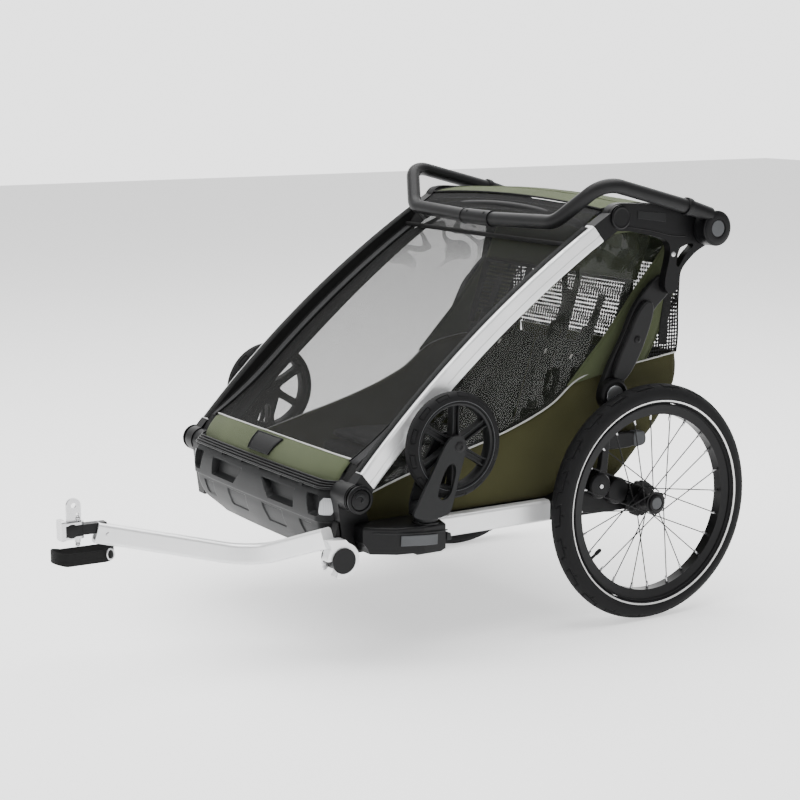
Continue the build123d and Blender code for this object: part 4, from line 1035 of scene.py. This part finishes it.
FORK_ARM = [(-607, 306), (-598, 326), (-570, 376), (-545, 420), (-530, 442), (-514, 451), (-498, 449),
        (-489, 436), (-490, 416), (-504, 372), (-516, 328), (-526, 303), (-545, 296), (-565, 294), (-590,
        297)]
FORK_SLOT = [(-553, 338), (-545, 368), (-531, 393), (-518, 397), (-512, 386), (-516, 362), (-525, 338),
        (-540, 329)]
FORK_CROWN = [(-590, 304), (-588, 318), (-578, 325), (-556, 321), (-538, 312), (-527, 303), (-545, 296),
        (-565, 294), (-582, 297)]
for side_name, side in SIDES:
    body = f"caster_wheel_{side_name}"
    centre = (side * CASTER_X, *CASTER_AXLE)
    tyre = piece_of(f"caster_tyre_{side_name}", lattice(caster_tyre_rows(side), wrap_rows=True,
            wrap_columns=True), "tyre_rubber", body)
    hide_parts(f"caster_wheel_{side_name}")
    rim = [(86, -13), (86, 13), (83, 14), (79, 11.5), (77.5, 4), (77.5, -4), (79, -11.5), (83, -14)]
    piece_of(f"caster_rim_{side_name}", hoop(centre, rim, 96), "dark_grey_plastic", body)
    bevel(piece_of(f"caster_spokes_{side_name}", spoke_ribs(side), "dark_grey_plastic", body), 0.8)
    hub = [(6, -15.8), (19, -15.8), (21, -13), (22, -4), (22, 4), (21, 13), (19, 15.8), (6, 15.8)]
    piece_of(f"caster_hub_{side_name}", turned(centre, hub, 48), "black_plastic", body)
    for face_name, face in (("outer", 1), ("inner", -1)):
        ring = sided(((89.6, 14.4), (88.0, 16.3), (85.4, 14.6), (86.6, 13.2)), face)
        piece_of(f"caster_bead_{face_name}_{side_name}", hoop(centre, ring, 96), "touch_grey", body)
    fork = f"caster_fork_{side_name}"
    arms = []
    for low, high, reach in ((398.6, 405.4, -607), (356.2, 361.4, -588)):
        arm = [(max(y, reach), z) for y, z in FORK_ARM]
        arms.append(plate(rounded(arm), [rounded(FORK_SLOT)], side * low, side * high))
    arm_pair = bevel(piece_of(f"caster_fork_arms_{side_name}", join(arms), "dark_grey_plastic", fork), 1.8, 3)
    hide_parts(f"caster_fork_{side_name}")
    crown = prism(rounded(FORK_CROWN), side * 357, side * 404.2)
    bevel(piece_of(f"caster_fork_crown_{side_name}", crown, "dark_grey_plastic", fork), 2.4, 3)
    cup = [(19, -8), (23.5, -6.5), (25, 0), (24.4, 12), (20, 14)]
    piece_of(f"caster_cup_{side_name}", turned((side * CASTER_X, STEM_Y, 295), cup, 48, UP),
            "dark_grey_plastic", fork)
    for face_name, x in (("inner", -25.2), ("outer", 25.2)):
        sign = 1 if x > 0 else -1
        cap = sided([(10.5, -0.4), (10.5, 1.2), (8.4, 2.0), (5.0, 2.0), (4.6, 0.6)], side * sign)
        piece_of(f"caster_bolt_{face_name}_{side_name}", turned((side * (CASTER_X + x), *CASTER_AXLE),
                cap, 28), "black_metal", fork)

# ---- docks: reflector strip, ledge, collar, tab and skid ----
for side_name, side in SIDES:
    strip = through([(side * 407.2, -556, 255), (side * 408.2, -575, 256), (side * 407.2, -590, 257),
            (side * 402.5, -612, 258), (side * 398, -632, 259)], 6)
    piece_of(f"dock_reflector_{side_name}", swept(strip, upright_section(21, 2.6)), "touch_grey", "base")
    edge = through([(side * 399, -528.5, 268), (side * 405.8, -545, 269), (side * 408, -585, 271),
            (side * 396, -636, 273), (side * 368, -676, 274)], 6)
    piece_of(f"dock_ledge_{side_name}", rod(edge, 1.6), "dark_grey_plastic", "base")
    collar = [(27, 0), (27, 2.4), (24.5, 4.4), (20.5, 4.4), (20.5, 0)]
    piece_of(f"dock_collar_{side_name}", hoop_up((side * CASTER_X, STEM_Y, 283.5), collar),
            "black_plastic", "base")
    tab = prism([(-531, 247), (-531, 262), (-521, 261), (-519, 248)], side * 384, side * 402)
    bevel(piece_of(f"dock_tab_{side_name}", tab, "dark_grey_plastic", "base", smooth=False),
            1.5)
    skid = prism([(-600, 231), (-596, 226), (-540, 226), (-532, 231), (-532, 234), (-600, 234)],
            side * 362, side * 398)
    bevel(piece_of(f"dock_skid_{side_name}", skid, "dark_grey_plastic", "base",
            smooth=False), 1.5)

# ---- front bumper: a moulded shell with pockets, ledge and wrapped ends ----
BUMPER_LINE = through([(0, -727, 363), (0, -743, 340), (0, -749, 318), (0, -750, 288), (0, -744, 283), (0,
        -739, 262), (0, -725, 232), (0, -706, 206)], 10)


def smooth_step(value, low, high):
    share = min(max((value - low) / (high - low), 0), 1)
    return share * share * (3 - 2 * share)


def in_slanted(x, z, left, right, low, high, lean, edge=3.0):
    """1 inside a slanted box with soft edges, 0 outside: its left edge leans with height."""
    shift = lean * (high - z) / (high - low)
    inside = smooth_step(x, left + shift, left + shift + edge) * (1 - smooth_step(x, right - edge, right))
    return inside * smooth_step(z, low, low + edge) * (1 - smooth_step(z, high - edge, high))


def bumper_wrap(x, depth=26):
    """How far the bumper's ends curve back."""
    return depth * max(0.0, (abs(x) - 262) / 36) ** 2


def bumper_depth(x, z):
    x = abs(x)
    depth = 15 * in_slanted(x, z, 44, 180, 297, 333, 34)
    depth = max(depth, 13 * in_slanted(x, z, 228, 272, 297, 336, 14))
    depth = max(depth, 2.4 * in_slanted(x, z, 36, 120, 240, 278, 10, 2.0))
    depth = max(depth, 2.4 * in_slanted(x, z, 190, 236, 244, 276, 10, 2.0))
    return depth


bumper_rows = []
for i in range(74):
    centre = along_line(BUMPER_LINE, i / 73)
    half = 298 - 93 * smooth_step(252 - centre.z, 0, 52) ** 0.85 if centre.z < 252 else 298
    row = []
    for j in range(281):
        u = 2 * j / 280 - 1
        x = half * u
        row.append((x, centre.y + 5 * u * u + bumper_wrap(x) + bumper_depth(x, centre.z), centre.z))
    bumper_rows.append(row)
bumper = piece_of("front_bumper_shell", lattice(bumper_rows), "dark_grey_plastic", "base")
thicken(bumper, 4)
bumper.modifiers["gauge"].offset = -1
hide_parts("front_bumper")
rib_line = [(x, -731 + 5 * (x / 298) ** 2 + bumper_wrap(x, 24), 362) for x in range(-296, 297, 8)]
ribbed = []
for k in range(4):
    line = [(x, y - 4.4 * k, z - 4.0 * k + 2) for x, y, z in rib_line]
    ribbed.append(rod(line, 2.3))
piece_of("bumper_ribbed_strip", join(ribbed), "black_plastic", "base")
for side_name, side in SIDES:
    glass = []
    for z, front, back in ((300, 276, 293), (306, 274, 296), (326, 277, 297), (333, 281, 297)):
        row = []
        for k in range(9):
            x = front + (back - front) * k / 8
            row.append((side * x, -745 + bumper_wrap(x) + (3 if z > 327 else 0), z))
        glass.append(row)
    lens = piece_of(f"bumper_reflector_{side_name}", lattice(glass), "reflector", "base")
    thicken(lens, 4)
    bevel(lens, 1)
    if side == 1:
        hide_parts("front_reflectors")
for k, x in enumerate((-150, -60, 20, 110, 200)):
    tick = prism([(-746, 346), (-744, 350), (-741, 350), (-742, 346)], x, x + 14)
    piece_of(f"bumper_tick_{k}", tick, "black_plastic", "base", smooth=False)

# ---- hinge caps, top link, rear strut and lower strut ----
LINK_OUTLINE = [(-104, 852), (-98, 864), (-84, 873), (-60, 875), (6, 870), (60, 862), (110, 852), (150,
        850), (184, 836), (194, 814), (184, 792), (160, 779), (132, 765), (104, 742), (92, 724), (89,
        704), (82, 688), (68, 681), (55, 688), (50, 702), (53, 724), (60, 752), (62, 776), (50, 794),
        (10, 806), (-40, 816), (-84, 820), (-100, 832)]
LINK_HOLE = [(80, 746), (86, 770), (94, 778), (118, 784), (124, 778), (104, 760), (88, 738), (82, 738)]
STRUT_OUTLINE = [(-96, 494), (-70, 548), (-40, 598), (-14, 652), (20, 692), (50, 714), (66, 720), (84,
        714), (88, 698), (76, 676), (44, 648), (22, 606), (2, 556), (-30, 508), (-44, 478), (-60, 462),
        (-82, 460), (-96, 474)]
STRUT_FACE = [(-72, 520), (-60, 556), (-38, 598), (-16, 640), (4, 664), (22, 668), (30, 650), (20, 612),
        (-2, 562), (-26, 524), (-46, 506), (-64, 508)]
LEG_OUTLINE = [(-88, 448), (-97, 400), (-106, 330), (-122, 300), (-126, 286), (-118, 272), (-104, 270),
        (-92, 280), (-88, 320), (-80, 400), (-70, 440), (-76, 450)]
STRUT_FOOT = (-108, 290)
HINGE_FACE = 363.2
LINK_FACE = 340.4
DRUM = [(32, -14), (36.5, -11), (37.5, 0), (36.5, 9), (33, 12)]
# name, form, x, place, steps, profile, look, body, slot
CAPS = (("hinge_ring", hoop, HINGE_FACE, FOLD_PIVOT, 56, [(27.5, -3), (27.5, 0.6), (25, 2.4), (22, 2.4),
        (20.5, 0.4), (20.5, -3)], "black_plastic", "front_frame", None), ("hinge_dial", turned,
        HINGE_FACE, FOLD_PIVOT, 48, [(19.6, -4), (19.6, 0.8), (17.6, 2.0), (0.6, 2.2)], "black_plastic",
        "front_frame", None), ("top_pivot_cap", turned, 352.5, TOP_PIVOT, 48, [(24, -3), (24, 0.5), (21,
        2.2), (17, 1.4), (16.2, -1.4), (4, -1.4)], "black_plastic", "front_frame", None), ("link_drum",
        turned, 348, BAR_PIVOT, 56, [(r, a / 2.2) for r, a in DRUM], "black_plastic", "top_link", None),
        ("link_screw", turned, 340.2, (71, 764), 20, [(5.4, 0), (5.4, 1), (4, 1.8), (2.2, 1.8), (2.0,
        0.8)], "steel", "top_link", None), ("strut_bolt", turned, 333.4, (-14, 590), 24, [(8, -1), (8,
        1.0), (6.2, 2.2), (3.2, 2.2), (3, 0.8)], "black_plastic", "rear_strut", "steel"),
        ("mid_hub_ring", hoop, 339.6, MID_PIVOT, 56, [(33, -6), (33, -1), (29, 1.6), (25.2, 0.8), (24.4,
        -6)], "black_plastic", "base", "black_metal"), ("mid_hub_drum", turned, 334, MID_PIVOT, 56, [(30,
        -18), (34, -16), (35, 0), (34, 4), (30, 5.5)], "black_plastic", "base", "black_metal"),
        ("strut_foot_disc", turned, 334, STRUT_FOOT, 48, [(25, -8), (27, -6), (27, 1), (24, 4.5), (10,
        6.5), (6, 6.5), (5.4, 4.8), (1, 4.8)], "black_plastic", "base", "black_metal"),
        ("strut_foot_screw", turned, 334, STRUT_FOOT, 16, [(4.2, 4.6), (4.2, 7.6), (2.2, 7.8), (2.0,
        6.4)], "steel", "base", None), ("axle_boss", turned, 330, (-56, 272), 44, [(20, -30), (28, -28),
        (29, -4), (26, 2), (20, 4)], "black_plastic", "base", None), ("bar_housing_ring", hoop, 378,
        BAR_PIVOT, 56, [(33, -1), (33, 0.8), (30, 2.2), (20.5, 1.6), (19.2, -1)], "black_plastic",
        "handlebar", None),)
for side_name, side in SIDES:
    for name, form, x, place, steps, profile, look, body, slot in CAPS:
        shape = form((side * x, *place), sided(profile, side), steps)
        piece_of(f"{name}_{side_name}", shape, look, body)
    comma = []
    for k in range(26):
        turn = math.radians(-60 + 210 * k / 25)
        reach = 2 + 11 * k / 25
        place = (FOLD_PIVOT[0] + reach * math.cos(turn), FOLD_PIVOT[1] + reach * math.sin(turn))
        comma.append((side * HINGE_FACE + side * 2.2, *place))
    piece_of(f"hinge_relief_{side_name}", rod(comma, 2.8, ACROSS), "dark_grey_plastic",
             "front_frame")
    outline = plate(rounded(LINK_OUTLINE, 4), [rounded(LINK_HOLE, 3)], side * 321.2, side * LINK_FACE)
    link = bevel(piece_of(f"top_link_plate_{side_name}", outline, "black_plastic", "top_link"), 3.5, 3)
    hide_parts("top_side_links")
    name_plate = prism([(-26, 842), (-26, 858), (48, 851), (48, 832)], side * 340, side * 341.6)
    bevel(piece_of(f"link_nameplate_{side_name}", name_plate, "dark_grey_plastic", "top_link",
            smooth=False), 2.0, 3)
    bead = through([(side * LINK_FACE, y, z) for y, z in ((-50, 826), (10, 816), (60, 804), (100, 800))], 8)
    piece_of(f"link_rib_{side_name}", rod(bead, 1.6, ACROSS), "black_plastic", "top_link")
    blade = prism(rounded(STRUT_OUTLINE, 4), side * 304, side * 318.6)
    strut = bevel(piece_of(f"rear_strut_blade_{side_name}", blade, "black_metal", "rear_strut"), 3, 3)
    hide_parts("rear_struts")
    face = prism(rounded(STRUT_FACE, 4), side * 318, side * 333)
    bevel(piece_of(f"rear_strut_face_{side_name}", face, "black_metal", "rear_strut"), 4, 3)
    blade = prism(rounded(LEG_OUTLINE, 4), side * 319.8, side * 334)
    leg = bevel(piece_of(f"lower_strut_blade_{side_name}", blade, "black_metal"), 3, 3)
    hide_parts("lower_struts")

# ---- handlebar: collar rings, sleeve screws, lips and inset ----
for side_name, side in SIDES:
    heading = Vector((0, 221, -59)).normalized()
    collar = [(15.4, -7), (18.4, -6), (19, 0), (18.4, 6), (16.4, 7)]
    piece_of(f"bar_collar_ring_{side_name}", turned((side * 366, 84, 864), collar, 36, heading),
            "black_plastic", "handlebar")
    screw = turned((side * 32, GRIP[0] - 10.5, GRIP[1] + 12.6), [(3.2, 0), (3.2, 0.9), (1.6, 1.0), (1.5,
            0.2)], 16, Vector((0, -0.64, 0.77)))
    piece_of(f"sleeve_screw_{side_name}", screw, "black_metal", "handlebar")
    lip = [(16.4, -1.6), (17.6, -1), (17.6, 1), (15.6, 1.8)]
    piece_of(f"sleeve_lip_{side_name}", turned((side * 51, *GRIP), lip, 36), "black_plastic", "handlebar")
flat = [(-44, -199.2, 838), (44, -199.2, 838), (44, -193.4, 843.5), (-44, -193.4, 843.5)]
inset = piece_of("sleeve_inset", (flat, [(0, 1, 2, 3)]), "dark_grey_plastic", "handlebar")
thicken(inset, 2.4)
bevel(inset, 0.8)

# ---- brake pedal: arm and ribbed tip ----
pedal = prism(rounded([(-98, 388), (-92, 396), (-72, 392), (2, 388), (2, 360), (-66, 358), (-92, 366)],
        4), 293, 311)
pedal_arm = bevel(piece_of("brake_pedal_arm", pedal, "black_plastic", "brake_pedal"), 3, 3)
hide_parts("brake_pedal")
tip = prism(rounded([(0, 387), (14, 389), (26, 387), (31, 374), (28, 362), (16, 358), (0, 360)], 4),
        291.6, 312.4)
bevel(piece_of("brake_pedal_tip", tip, "touch_grey", "brake_pedal"), 3, 3)
rib = prism([(-1.1, -14.6), (1.1, -14.6), (1.1, 14.6), (-1.1, 14.6)], -9, 9)
bevel(piece_of("brake_pedal_ribs", ribs((302, 7, 374), (0, 5.5, 0), 4, rib), "touch_grey", "brake_pedal",
        smooth=False), 0.8)

# ---- tow arm: bolts, pivot cap, latch, hitch head and pin, strap loop and ring ----
for mark, side in (("near", 1), ("far", -1)):
    ring = sided([(8.4, -1), (8.4, 1.2), (6.8, 2.4), (4.2, 2.4), (3.8, 1.0)], side)
    piece_of(f"arm_front_bolt_{mark}", turned((99 + side * 14.2, -1107, 275), ring, 24), "steel", "tow_arm")
cap = [(17, 0), (17, 2), (14, 3.4), (5, 3.4), (4.6, 2.2)]
piece_of("arm_pivot_cap", turned((344.2, *ARM_PIVOT), cap, 48), "satin_aluminium", "tow_arm")
latch = rounded([(-752, 246), (-738, 252), (-722, 250), (-712, 236), (-716, 214), (-732, 206), (-748,
        210)], 4)
bevel(piece_of("arm_latch", prism(latch, 312, 321), "black_plastic", "base"), 2, 3)
lever = through([(318, -748, 246), (322, -757, 232), (321, -758, 214), (317, -752, 204)], 8)
piece_of("arm_latch_lever", swept(lever, flat_section(11, 4), ACROSS), "steel", "tow_arm")
head = [(8, -13), (13.5, -12), (14.5, -4), (14.5, 4), (13.5, 12), (8, 13)]
piece_of("hitch_head", turned((HITCH[0], HITCH[1] - 15, HITCH[2]), head, 36), "black_plastic", "hitch")
knob = [(3.0, -4), (4.6, -2), (5.6, 1.5), (4.8, 5), (2.6, 7.2), (0.8, 7.8)]
piece_of("hitch_pin_knob", turned((HITCH[0], HITCH[1], HITCH[2] + 20), knob, 24, UP), "steel", "hitch")
ball = [(1.6, 0), (2.2, -3), (4.4, -5), (5.0, -8), (3.6, -11), (1.2, -12)]
piece_of("hitch_pin_ball", turned((HITCH[0], HITCH[1], HITCH[2] - 21), ball, 24, UP), "steel", "hitch")
loop = []
for k in range(28):
    turn = math.pi * k / 27
    loop.append((HITCH[0] + 23 * math.cos(turn), -1116 + 23 * math.sin(turn), 237 + 3 * math.sin(turn)))
for k in range(28):
    turn = math.pi + math.pi * k / 27
    loop.append((HITCH[0] + 23 * math.cos(turn), -1191 + 23 * math.sin(turn), 238 - 6 * math.sin(turn)))
strap = piece_of("safety_strap_loop", swept(loop, upright_section(25, 2.4), closed=True), "webbing",
        "tow_arm")
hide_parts("safety_strap")
ring_line = []
for k in range(28):
    turn = 2 * math.pi * k / 28
    ring_line.append((HITCH[0] + 27, -1108 + 7 * math.cos(turn), 240 + 10 * math.sin(turn)))
piece_of("strap_ring", rod(ring_line, 1.6, ACROSS, closed=True), "steel", "tow_arm")

# ---- floor, light and camera ----
ground = bpy.data.meshes.new("ground")
REACH = 14
ground.from_pydata([(-REACH, -REACH, 0), (REACH, -REACH, 0), (REACH, REACH, 0), (-REACH, REACH, 0)], [],
        [(0, 1, 2, 3)])
floor_material, _, floor_shader = base_material("studio_floor", 0.9)
floor_shader.inputs["Base Color"].default_value = (0.9, 0.9, 0.9, 1)
floor_shader.inputs["Specular IOR Level"].default_value = 0.0
floor_shader.inputs["Emission Color"].default_value = (1, 1, 1, 1)
floor_shader.inputs["Emission Strength"].default_value = 0.8
ground.materials.append(floor_material)
floor = bpy.data.objects.new("studio_floor", ground)
scene.collection.objects.link(floor)

world = bpy.data.worlds.new("studio")
world.use_nodes = True
sky = world.node_tree
place = sky.nodes.new("ShaderNodeTexCoord")
facing = sky.nodes.new("ShaderNodeVectorMath")
facing.operation = "DOT_PRODUCT"
facing.inputs[1].default_value = (-0.83, 0.53, -0.1)
sky.links.new(place.outputs["Generated"], facing.inputs[0])
glow = map_range(sky, facing.outputs["Value"], 0.45, 0.8, 0.45, 2.6)
sky.nodes["Background"].inputs["Color"].default_value = (1, 1, 1, 1)
sky.links.new(glow, sky.nodes["Background"].inputs["Strength"])
scene.world = world


def soft_light(name, place, target, size, power):
    lamp = bpy.data.lights.new(name, "AREA")
    lamp.energy = power
    lamp.shape = "DISK"
    lamp.size = size
    light = bpy.data.objects.new(name, lamp)
    light.location = place
    light.rotation_euler = (Vector(target) - Vector(place)).to_track_quat("-Z", "Y").to_euler()
    scene.collection.objects.link(light)


soft_light("key", (-0.6, -2.6, 3.4), (0, 0.1, 0.4), 2.0, 60)
soft_light("fill", (3.6, -1.0, 2.2), (0, 0.2, 0.4), 2.6, 8)
soft_light("overhead", (-0.3, 0.6, 4.6), (0, 0.2, 0), 6.0, 420)

optics = bpy.data.cameras.new("camera")
optics.lens = 84.1
optics.sensor_width = 36
optics.shift_x = -0.044
optics.shift_y = -0.006
camera = bpy.data.objects.new("camera", optics)
camera.location = (3.3426, -1.9605, 1.1562)
aim = Vector((0, 0.1825, 0.450)) - camera.location
camera.rotation_euler = aim.to_track_quat("-Z", "Y").to_euler()
scene.collection.objects.link(camera)
scene.camera = camera
